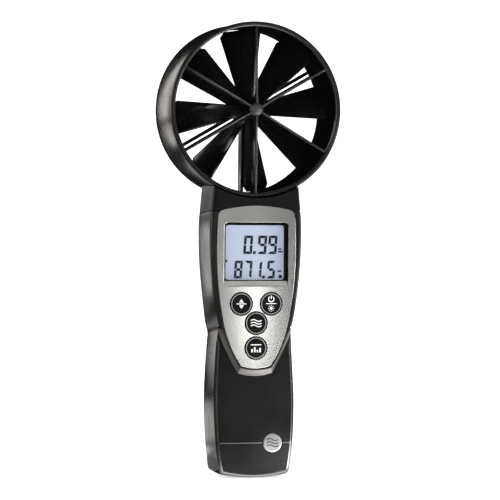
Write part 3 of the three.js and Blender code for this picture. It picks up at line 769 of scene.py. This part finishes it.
def make_neck():
    """The two halves of the saddle between ring and handle."""
    for name, keep_clear, node in (
        ("neck_front_shell", (PARTING_Y, REACH), "neck_front"),
        ("neck_rear_shell", (-REACH, PARTING_Y + 0.15), "neck_rear"),
    ):
        neck = handle_body(name, SEAM_Z - 6, 181, steps=24)
        radius = RING_RADIUS + GAP
        cradle = turned("cutter", [(0, -40), (radius, -40), (radius, 40), (0, 40)],
                        0, RING_Z, RING_STEPS)
        combine(neck, [cradle, stem_well(), plate_bed(), below_seam(),
                       cutter_block(keep_clear, (100, 200))])
        piece(neck, "grip", [node])


def make_front_shell():
    """The front shell: upper body round the plate, and the recessed grip panel below it."""
    shell = handle_shape("front_shell")
    inside = plate("inside", [handle_points(0, CAVITY_TOP, WALL)], -30, 30, 0, 0)
    behind_grip = bar("cutter", [(y + GRIP_WALL, z) for y, z in GRIP_PROFILE]
                      + [(-15.7, 200), (30, 200), (30, -10)])
    combine(behind_grip, [inside], "INTERSECT")
    behind_display = flat_cutter([handle_points(DISPLAY_CAVITY, CAVITY_TOP - 0.2, WALL + 0.3)],
                                 SHELL_FRONT + 3.2, -15.2)
    behind_keys = flat_cutter([both_sides([
        (0, 70), (8, 70), (11.5, 76), (14.5, 83), (17.5, 90), (18.6, DISPLAY_CAVITY + 0.5),
        (0, DISPLAY_CAVITY + 0.5),
    ])], SHELL_FRONT + 3.3, -15.0)
    smooth_profile = [(grip_front(z), z) for z in np.arange(-10, STEP_TOP + 0.1, 1.46)]
    step = loft_along_x([
        (x, [(y + grip_fall(x), z) for y, z in smooth_profile] + [(-REACH, STEP_TOP), (-REACH, -10)])
        for x in np.arange(-REACH, REACH + 1, 2.5)])
    island_edge = [(max(x - 0.15, 0), z + 0.15) for x, z in TRIM_INNER]
    island_top = [(22.1, STEP_TOP + 0.1), (REACH, STEP_TOP + 0.1), (REACH, 200), (0, 200)]
    combine(step, [flat_cutter([both_sides(island_edge + island_top)], -REACH - 10, 0)])
    outside = [(x + copysign(0.15, x) if x else 0, z - 0.15) for (x, z), _ in trim_pairs()]
    inside_line = [(x - copysign(0.2, x) if x else 0, z + 0.2) for _, (x, z) in trim_pairs()]
    bed_top = 91.2
    trim_bed = flat_cutter([[(-23, bed_top)] + outside + [(23, bed_top), (21.0, bed_top)]
                            + inside_line[::-1] + [(-21.0, bed_top)]],
                           -REACH, TRIM_HIGH.y + GAP + 0.1)
    opening = flat_cutter([rounded_box(*WINDOW, WINDOW_CORNER)], -REACH, 0)
    keys = [flat_cutter([circle(x, z, KEY_HOLE)], -REACH, 0) for x, z in key_centres()]
    badge = node_centre("badge")
    badge_bed = flat_cutter([circle(badge.x, badge.z, 6.2)], -REACH, GRIP_AT_BADGE + 0.9)
    line = node_box("grip_inlay_left")[0].x - GAP
    line_bed = block("cutter", (line, -line), (-REACH, GRIP_AT_BADGE + 0.5),
                     (badge.z - 0.65, badge.z + 0.65))
    beyond = cutter_block((PARTING_Y, REACH), WHOLE_HEIGHT)
    rim = sweep_along_grip([(-0.6, -0.6), (2.6, -0.6), (2.0, 0), (1.1, 0.35), (0.1, 1.3), (-0.6, 1.6)])
    groove = sweep_along_grip([(2.05, -0.8), (2.5, -0.8), (2.5, 0.45), (2.05, 0.45)])
    combine(shell, [behind_grip, behind_display, behind_keys, step, rim, groove, plate_bed(), trim_bed,
                    opening, *keys, badge_bed, line_bed, stem_well(), beyond])
    piece(shell, "case", ["front_housing"])
    paint(shell, "grip", lambda at, normal: (
        at.z < STEP_TOP + 0.1 and off_grip(at) < 0.15 and normal.y < -0.9))
    # The chamfer round the grip's edge gets the paler finish: a painted highlight line.
    paint(shell, "rim", lambda at, normal: (
        at.z < 89 and -0.96 < normal.y < -0.85 and off_grip(at) < 0.5))


def inside_back(inset):
    """The handle's outline at the back, pulled in by inset."""
    return [handle_points(0, CAVITY_TOP, inset, 64, 1)]


def make_rear_shell():
    """The rear shell: hollow, with the battery opening, the label's bed and the screw posts."""
    shell = handle_shape("rear_shell")
    cavity = flat_cutter(inside_back(WALL + 0.6), -30, BACK_Y - WALL - 3.2)
    deep = flat_cutter(inside_back(WALL + 4.2), -30, BACK_Y - WALL)
    bay = block("cutter", (COVER_LOW.x - GAP, COVER_HIGH.x + GAP), (-30, REACH),
                (COVER_LOW.z - GAP, COVER_HIGH.z + GAP))
    before = cutter_block((-REACH, PARTING_Y + 0.15), WHOLE_HEIGHT)
    label = block("cutter", (LABEL_LOW.x - GAP, LABEL_HIGH.x + GAP), (BACK_Y - 0.6, REACH),
                  (LABEL_LOW.z - GAP, LABEL_HIGH.z + GAP))
    combine(shell, [cavity, deep, bay, before, label, stem_well()])
    for node in SCREW_NODES:
        at = node_centre(node)
        post = plate("post", [circle(at.x, at.z, 3.6, 32)], -1, BACK_Y - 1.5, 0, 0)
        combine(post, [flat_cutter(inside_back(WALL - 0.6), -30, 30)], "INTERSECT")
        combine(shell, [post], "UNION")
        shank = flat_cutter([circle(at.x, at.z, 1.4, 32)], -REACH, REACH)
        head = flat_cutter([circle(at.x, at.z, 2.5, 48)], 3.2, REACH)
        combine(shell, [shank, head])
    piece(shell, "case", ["rear_housing"])


# ---- face


def crown(obj, front, back, bulge):
    """Cuts a plate into a fine grid and bends its front: bulge(x, z) gives how far it falls back."""
    bent = bmesh.new()
    bent.from_mesh(obj.data)
    for axis, spacing, reach in ((0, 2.2, 26), (2, 4.4, 180)):
        for offset in np.arange(-reach, reach, spacing):
            normal = Vector((0, 0, 0))
            normal[axis] = 1
            geometry = bent.verts[:] + bent.edges[:] + bent.faces[:]
            bmesh.ops.bisect_plane(bent, geom=geometry, plane_co=normal * offset * MM,
                                   plane_no=normal, dist=1e-7)
    for vert in bent.verts:
        share = (back - vert.co.y / MM) / (back - front)
        vert.co.y += share * bulge(vert.co.x / MM, vert.co.z / MM) * MM
    bent.to_mesh(obj.data)
    bent.free()


def even_crown(obj, bulge):
    """Takes the front face's shading normals from the bulge itself, so its highlight is even."""
    step = 0.1
    mesh = obj.data
    normals = [corner.vector.copy() for corner in mesh.corner_normals]
    for polygon in mesh.polygons:
        if polygon.normal.y > -0.97:
            continue
        for corner in polygon.loop_indices:
            x, _, z = mesh.vertices[mesh.loops[corner].vertex_index].co / MM
            across = (bulge(x + step, z) - bulge(x - step, z)) / (2 * step)
            along = (bulge(x, z + step) - bulge(x, z - step)) / (2 * step)
            normals[corner] = Vector((across, -1, along)).normalized()
    mesh.normals_split_custom_set(normals)


FACE_HALF, FACE_CROWN = 24.5, 0.42
FACE_BEND_TOP, FACE_BEND_HEIGHT, FACE_BEND = 112, 45, 0.12


def plate_bulge(x, z):
    """The silver plate is crowned across, and falls back a little towards its foot."""
    return (FACE_CROWN * (x / FACE_HALF) ** 2
            + FACE_BEND * (max(FACE_BEND_TOP - z, 0) / FACE_BEND_HEIGHT) ** 2)


def make_faceplate():
    holes = [rounded_box(*WINDOW, WINDOW_CORNER)] + [circle(x, z, KEY_HOLE) for x, z in key_centres()]
    face = plate("silver_plate", [plate_outline()] + holes, FACE_Y, FACE_Y + FACE_THICK, 0.25, 3)
    crown(face, FACE_Y, FACE_Y + FACE_THICK, plate_bulge)
    piece(face, "silver", ["faceplate"], sharp=9)
    even_crown(face, plate_bulge)


def trim_pairs():
    """Outer and inner points of the bevelled band, from upper left round to upper right."""
    right = list(zip(TRIM_OUTER, TRIM_INNER))
    left = [((-outer[0], outer[1]), (-inner[0], inner[1])) for outer, inner in right[:0:-1]]
    return left + right


def make_trim():
    """The bevelled band round the plate's foot, from its narrow flat top down to the grip."""
    top, bottom = TRIM_LOW.y, TRIM_HIGH.y
    verts = []
    pairs = trim_pairs()
    for outer, inner in pairs:
        ledge = [inner[k] + 0.1 * (outer[k] - inner[k]) for k in (0, 1)]
        lip = bottom - (1.6 if abs(outer[0]) < 11 else 0.7)
        ring = [(inner, bottom), (inner, top), (ledge, top), (outer, lip), (outer, bottom)]
        verts += [(p[0], y, p[1]) for p, y in ring]
    faces = ring_faces(len(pairs), len(verts) // len(pairs))
    band = rounded(new_object("trim_band", verts, faces), 0.12, 2, 12)
    piece(band, "trim", ["faceplate_trim"], sharp=20)


# ---- display

SEGMENTS = {
    "0": "abcdef", "1": "bc", "5": "acdfg", "7": "abc", "8": "abcdefg", "9": "abcdfg",
}
SEGMENT_THICK = 0.07
FIGURES_Y = LCD_LOW.y - 0.08


def segment_outlines(w, h, b, with_middle):
    """The seven segments of a figure w wide and h high, with bars b wide, from its lower left corner."""
    g, m, j = b * 0.07, h / 2, b * (0.5 if with_middle else 0.15)
    return {
        "a": [(g, h), (w - g, h), (w - b - g, h - b), (b + g, h - b)],
        "d": [(g, 0), (b + g, b), (w - b - g, b), (w - g, 0)],
        "g": [(b * 0.6, m), (b, m + b / 2), (w - b, m + b / 2), (w - b * 0.6, m), (w - b, m - b / 2),
              (b, m - b / 2)],
        "f": [(0, h - g), (b, h - b - g), (b, m + j + g), (0, m + g)],
        "b": [(w, h - g), (w, m + g), (w - b, m + j + g), (w - b, h - b - g)],
        "e": [(0, g), (0, m - g), (b, m - j - g), (b, b + g)],
        "c": [(w, g), (w - b, b + g), (w - b, m - j - g), (w, m - g)],
    }


def on_display(name, outlines):
    """A thin dark print on the display."""
    row = plate(name, outlines, FIGURES_Y, FIGURES_Y + SEGMENT_THICK, 0, 0)
    piece(row, "digit")


def make_reading(name, text, right, bottom, height, width, pitch):
    """One row of figures, ending at its right edge, with a slight slant."""
    bar, slant = height * 0.142, 0.07
    outlines = []
    x = right
    for char in reversed(text):
        if char == ".":
            outlines.append([(x - bar * 1.1, 0), (x, 0), (x, bar * 1.1), (x - bar * 1.1, bar * 1.1)])
            x -= bar * 1.5
            continue
        x -= width
        shapes = segment_outlines(width, height, bar, "g" in SEGMENTS[char])
        outlines += [[(x + px, pz) for px, pz in shapes[s]] for s in SEGMENTS[char]]
        x -= pitch
    on_display(name, [[(px + pz * slant, bottom + pz) for px, pz in line] for line in outlines])


def make_display():
    """The window pane, the mask and sill round the panel, and what the display shows."""
    pane_outline = rounded_box(PANE_LOW.x, PANE_HIGH.x, PANE_LOW.z, PANE_HIGH.z, 1.4)
    pane = plate("window_pane", [pane_outline], PANE_LOW.y, PANE_HIGH.y, 0.1, 2)
    piece(pane, "pane", ["display_window"])
    mask_hole = rounded_box(-18.2, 18.4, 120.4, 153.5, 1.7)
    mask = plate("window_mask", [pane_outline, mask_hole], PANE_HIGH.y, LCD_LOW.y - 0.15, 0, 0)
    piece(mask, "gloss")
    make_reading("reading_speed", "0.99", 13.8, 136.0, 11.2, 5.5, 1.0)
    make_reading("reading_lower", "871.5", 12.7, 121.2, 10.8, 5.0, 1.1)
    marks = [rounded_box(14.9, 17.9, 137.0, 137.9, 0.1), rounded_box(14.9, 16.9, 138.6, 139.5, 0.1),
             rounded_box(14.6, 17.0, 125.2, 126.1, 0.1), rounded_box(15.4, 17.4, 121.3, 123.4, 0.1),
             rounded_box(-18.0, -17.0, 131.0, 132.6, 0.1)]
    sill = bar("window_sill", [(-21.85, 116.9), (-18.6, 119.7), (-18.6, 116.9)], -19.9, 19.9)
    piece(sill, "sill")
    on_display("display_marks", marks)


# ---- keys


def printed(name, outlines, body, at, scale=1.0, depth=0.06):
    """A thin white print on a key's face, from outlines about the key's centre."""
    placed = [[(at.x + x * scale, at.z + z * scale) for x, z in outline] for outline in outlines]
    mark = plate(name, placed, KEY_FACE - depth, KEY_FACE + depth, 0, 0)
    piece(mark, "mark", body=body)


def stroke(points, width):
    """The outline of an open line of even width."""
    left, right = [], []
    for x, z, nx, nz in with_normals(points):
        left.append((x + nx * width / 2, z + nz * width / 2))
        right.append((x - nx * width / 2, z - nz * width / 2))
    return left + right[::-1]


def wave(x0, x1, z, height, width, steps=16):
    """The outline of one period of a sine line."""
    points = []
    for i in range(steps + 1):
        t = i / steps
        points.append((x0 + (x1 - x0) * t, z + height * sin(t * 2 * pi)))
    return stroke(points, width)


def key_prints():
    """A plain pictogram for each key."""
    up = [(-1.1, 0.7), (1.1, 0.7), (0, 2.3)]
    down = [(-1.1, -0.7), (0, -2.3), (1.1, -0.7)]
    hold = [up, down, [(-2.4, -0.18), (2.4, -0.18), (2.4, 0.18), (-2.4, 0.18)]]
    power = [stroke(arc(0, 2.3, 1.35, 125, 415, 20), 0.36), stroke([(0, 2.4), (0, 4.0)], 0.36),
             stroke([(-2.6, 0.1), (2.6, 0.1)], 0.3), circle(0, -2.2, 0.62, 24)]
    for i in range(8):
        a = radians(45 * i)
        c, s = cos(a), sin(a)
        power.append(stroke([(1.05 * c, -2.2 + 1.05 * s), (1.6 * c, -2.2 + 1.6 * s)], 0.26))
    flow = [wave(-2.7, 2.7, z, 0.45, 0.38) for z in (1.3, 0, -1.3)]
    mean = [stroke([(-2.6, 1.6), (2.6, 1.6)], 0.36)]
    for x, height in ((-2.0, 1.5), (-0.65, 2.4), (0.7, 1.1), (2.05, 2.0)):
        mean.append([(x - 0.35, -2.0), (x + 0.35, -2.0),
                     (x + 0.35, -2.0 + height), (x - 0.35, -2.0 + height)])
    return dict(zip(KEY_NODES, (hold, power, flow, mean)))


def make_keys():
    """Each key: a dished cap, a fine pale ring set in it as a painted highlight of the cap's edge, and
    its print.
    """
    prints = key_prints()
    for node in KEY_NODES:
        at = node_centre(node)
        profile = ([(0, -22.02), (3.0, -22.03), (4.8, -22.1), (5.75, -22.2), (5.85, -22.1),
                    (6.3, -22.1)]
                   + arc(KEY_RADIUS - 0.45, -21.95, 0.45, -90, 0, 5)
                   + [(KEY_RADIUS, -18.1), (7.35, -18.1), (7.35, -17.1), (3.0, -17.1),
                      (3.0, -15.2), (0, -15.2)])
        cap = turned(node + "_cap", profile, at.x, at.z)
        piece(cap, "key", [node], body=node)
        # The pale ring is a painted highlight of the cap's edge.
        ring_profile = [(5.88, -22.0), (5.88, -22.3), (5.98, -22.36), (6.22, -22.36), (6.3, -22.3),
                        (6.3, -22.0)]
        band = turned(node + "_ring", ring_profile, at.x, at.z)
        piece(band, "key_line", body=node)
        printed(node + "_print", prints[node], node, at, 1.25)


# ---- grip trim


def make_grip_trim():
    """The badge with three plain waves, and the thin line that runs across the grip to it."""
    low, high = BADGE_LOW, BADGE_HIGH
    at = node_centre("badge")
    radius = (high.x - low.x) / 2
    edge = 0.35
    profile = ([(0, low.y + 0.05), (radius - 1.0, low.y)]
               + arc(radius - edge, low.y + edge, edge, -90, 0, 4) + [(radius, high.y), (0, high.y)])
    disc = turned("badge_disc", profile, at.x, at.z)
    piece(disc, "badge", ["badge"])
    waves = [[(at.x + x, at.z + z) for x, z in wave(-3.6, 3.6, dz, 0.6, 0.55)] for dz in (1.9, 0, -1.9)]
    mark = plate("badge_waves", waves, low.y - 0.05, low.y + 0.06, 0, 0)
    piece(mark, "digit")
    for node in ("grip_inlay_left", "grip_inlay_right"):
        low, high = node_box(node)
        strip = plate(node + "_strip", [rounded_box(low.x, high.x, low.z, high.z, 0.2)],
                      low.y, high.y, 0.05, 1)
        piece(strip, "inlay", [node])


# ---- back


def make_battery_cover():
    """The battery cover, with a latch inside, a finger notch and ribs."""
    low, high = COVER_LOW, COVER_HIGH
    lid = plate("cover_lid", [rounded_box(low.x, high.x, low.z, high.z, 1.2)],
                BACK_Y - 2.0, BACK_Y, 0.25, 3)
    latch = block("latch", (-5, 5), (low.y, BACK_Y - 1.8), (high.z - 2.4, high.z - 0.2))
    combine(lid, [latch], "UNION")
    notch = plate("cutter", [rounded_box(-6, 6, high.z - 6.2, high.z - 3.0, 1.2)],
                  BACK_Y - 0.9, BACK_Y + 5, 0.3, 3)
    ribs = [plate("cutter", [rounded_box(-7, 7, z, z + 1.2, 0.5)], BACK_Y - 0.5, BACK_Y + 5, 0.15, 2)
            for z in (high.z - 9.6 - 2.4 * i for i in range(4))]
    combine(lid, [notch, *ribs])
    piece(lid, "grip", ["battery_cover"], body="battery_cover")


def make_screws():
    for node in SCREW_NODES:
        at = node_centre(node)
        head = turned(node + "_head", [(0, -14.6), (1.1, -14.6), (1.1, 3.5), (2.2, 3.5), (2.2, 4.8)]
                      + arc(1.6, 4.8, 0.6, 0, 90, 4) + [(0, 5.4)], at.x, at.z, 48)
        slots = [block("cutter", (at.x - a, at.x + a), (4.6, 6), (at.z - b, at.z + b))
                 for a, b in ((1.5, 0.3), (0.3, 1.5))]
        combine(head, slots)
        piece(head, "steel", [node])


def make_label():
    low, high = LABEL_LOW, LABEL_HIGH
    sheet = plate("blank_label", [rounded_box(low.x, high.x, low.z, high.z, 1.0)],
                  low.y, high.y, 0.05, 1)
    piece(sheet, "label", ["rear_label"])


def make_battery():
    low, high = node_box("battery")
    body = block("battery_block", (low.x, high.x), (low.y, high.y), (low.z, high.z))
    rounded(body, 2.0, 4)
    piece(body, "wrap", ["battery"])


# ---- carried-over nodes

CARRIED = {
    "neck_seal": "rubber", "impeller_shaft": "steel", "front_bearing": "brass",
    "rear_bearing": "brass", "temperature_sensor": "part", "lcd_module": "lcd", "lcd_frame": "part",
    "backlight": "white", "keypad_mat": "rubber", "circuit_board": "board", "processor_chip": "part",
    "contact_strip": "rubber", "battery_connector": "part", "battery_pad": "foam",
    "battery_lead_red": "red", "battery_lead_black": "rubber", "sensor_lead": "rubber",
}


def dress_carried_nodes():
    for node, material in CARRIED.items():
        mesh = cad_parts[node].data
        mesh.materials.clear()
        mesh.materials.append(MATERIALS[material])


# ---- studio

WHITE, WARM, WARMER = (1, 1, 1), (1.0, 0.97, 0.94), (1.0, 0.96, 0.92)
ABOVE_FLOOR = 0.00005
SWEEP_FLOOR, SWEEP_CURVE, SWEEP_TOP, SWEEP_STEP = 4.5, 1.5, 4.0, 6
SWEEP_GLOW = 0.62
CAMERA = {"azimuth": -15.04, "elevation": 1.224, "distance": 1.5750, "lens": 184.79, "roll": -0.439,
          "shift": (0.00666, -0.00146), "target": (0.0, 0.0015, 0.1385)}


def make_camera():
    azimuth, elevation, roll = (radians(CAMERA[k]) for k in ("azimuth", "elevation", "roll"))
    back = Vector((sin(azimuth) * cos(elevation), -cos(azimuth) * cos(elevation),
                   sin(elevation)))
    right = Vector((cos(azimuth), sin(azimuth), 0))
    up = back.cross(right)
    turned_right = right * cos(roll) - up * sin(roll)
    turned_up = right * sin(roll) + up * cos(roll)
    data = bpy.data.cameras.new("camera")
    data.lens = CAMERA["lens"]
    data.shift_x, data.shift_y = CAMERA["shift"]
    data.clip_end = 20
    camera = linked("camera", data)
    place = Vector(CAMERA["target"]) + back * CAMERA["distance"]
    axes = Matrix((turned_right, turned_up, back)).transposed().to_4x4()
    camera.matrix_world = Matrix.Translation(place) @ axes
    bpy.context.scene.camera = camera


def soft_box(name, size, radiance, colour, place, axes):
    """A rectangular light that the camera doesn't see."""
    data = bpy.data.lights.new(name, "AREA")
    data.shape = "RECTANGLE"
    data.size, data.size_y = size
    data.energy = radiance * pi * size[0] * size[1]
    data.color = colour
    light = linked(name, data)
    light.matrix_world = Matrix.Translation(place) @ axes
    light.visible_camera = False


def area_light(name, azimuth, height, distance, size, radiance, aim_z, colour=WHITE):
    """A soft box round the object: azimuth 0 is straight in front and 90 is on its right."""
    angle = radians(azimuth)
    place = Vector((sin(angle) * distance, -cos(angle) * distance, height))
    aim = Vector((0, 0, aim_z)) - place
    soft_box(name, size, radiance, colour, place, aim.to_track_quat("-Z", "Y").to_matrix().to_4x4())


def floor_light(name, azimuth, near, far, width, radiance, colour=WHITE):
    """A soft box that lies on the floor and shines up, from near to far along its azimuth."""
    angle = radians(azimuth)
    outwards = Vector((sin(angle), -cos(angle), 0))
    across = Vector((cos(angle), sin(angle), 0))
    axes = Matrix((across, outwards, (0, 0, -1))).transposed().to_4x4()
    place = outwards * (near + far) / 2 + Vector((0, 0, ABOVE_FLOOR))
    soft_box(name, (width, far - near), radiance, colour, place, axes)


def make_floor():
    """A pale round sweep of floor, curve and wall. The object's gloss doesn't show it."""
    section = [(0.0, 0.0), (1.5, 0.0), (SWEEP_FLOOR, 0.0)]
    section += [(SWEEP_FLOOR + SWEEP_CURVE * sin(a), SWEEP_CURVE - SWEEP_CURVE * cos(a))
                for a in np.radians(np.arange(SWEEP_STEP, 91, SWEEP_STEP))]
    section.append((SWEEP_FLOOR + SWEEP_CURVE, SWEEP_TOP))
    verts, faces = [], []
    for turn in np.radians(np.arange(0, 360, SWEEP_STEP)):
        verts += [(r * cos(turn) / MM, r * sin(turn) / MM, z / MM) for r, z in section]
    count = len(section)
    for start in range(0, len(verts), count):
        after = (start + count) % len(verts)
        faces += [(start + i, start + i + 1, after + i + 1, after + i) for i in range(count - 1)]
    sweep = new_object("studio_sweep", verts, faces)
    material, shader = new_material("sweep_paper", (0.92, 0.92, 0.92), 0.9)
    set_inputs(shader, {"Emission Color": (1, 1, 1, 1), "Emission Strength": SWEEP_GLOW})
    sweep.data.materials.append(material)
    smooth(sweep.data)
    sweep.visible_glossy = False


def make_studio():
    make_camera()
    make_floor()
    world = bpy.data.worlds.new("studio")
    world.use_nodes = True
    set_inputs(world.node_tree.nodes["Background"], {"Color": (1, 1, 1, 1), "Strength": 0.5})
    world.cycles_visibility.glossy = False
    bpy.context.scene.world = world
    bpy.context.scene.view_settings.view_transform = "Standard"
    area_light("side_high", -161, 0.39, 0.80, (0.15, 0.38), 2.8, 0.34, WARMER)
    area_light("side_low", -159, 0.095, 0.80, (0.15, 0.13), 2.3, 0.095, WARM)
    floor_light("side_near", -160, 0.01, 0.16, 0.12, 0.3, WARM)
    floor_light("side_floor", -160, 0.17, 0.55, 0.18, 1.1, WARM)
    floor_light("left_floor", -95, 0.05, 0.30, 0.12, 1.0)
    floor_light("right_floor", 126, 0.10, 0.50, 0.30, 1.5)
    floor_light("front_floor", 5, 0.014, 0.08, 0.10, 3.0)
    area_light("left_box", -96, 0.40, 0.80, (0.55, 0.62), 3, 0.16, WARM)
    area_light("plate_box", 13.8, 0.082, 0.34, (0.026, 0.076), 4.2, 0.09)
    area_light("plate_wide", -2, 0.17, 0.60, (0.20, 0.18), 0.42, 0.12)
    area_light("spoke_box", 15, 0.29, 0.60, (0.18, 0.10), 3.0, 0.24)
    floor_light("grip_floor", 52, 0.05, 0.40, 0.12, 8)
    floor_light("rim_floor", 58, 0.05, 0.70, 0.16, 2.0)
    area_light("rim_box", -60, 0.045, 0.60, (0.10, 0.13), 1.5, 0.04)
    area_light("right_strip", 108, 0.09, 0.60, (0.10, 0.22), 6, 0.09)
    area_light("right_front", 62, 0.09, 0.80, (0.20, 0.18), 10, 0.10)
    area_light("top_box", 150, 1.0, 0.30, (0.5, 0.5), 2.5, 0.20)
    area_light("back_box", 145, 0.30, 1.10, (0.45, 0.50), 1.6, 0.15)
    floor_light("back_floor", 150, 0.06, 0.70, 0.20, 1.0)


# ---- everything

make_studio()
make_duct()
make_guards()
make_impeller()
make_neck()
make_front_shell()
make_rear_shell()
make_faceplate()
make_trim()
make_display()
make_keys()
make_grip_trim()
make_battery_cover()
make_screws()
make_label()
make_battery()
dress_carried_nodes()
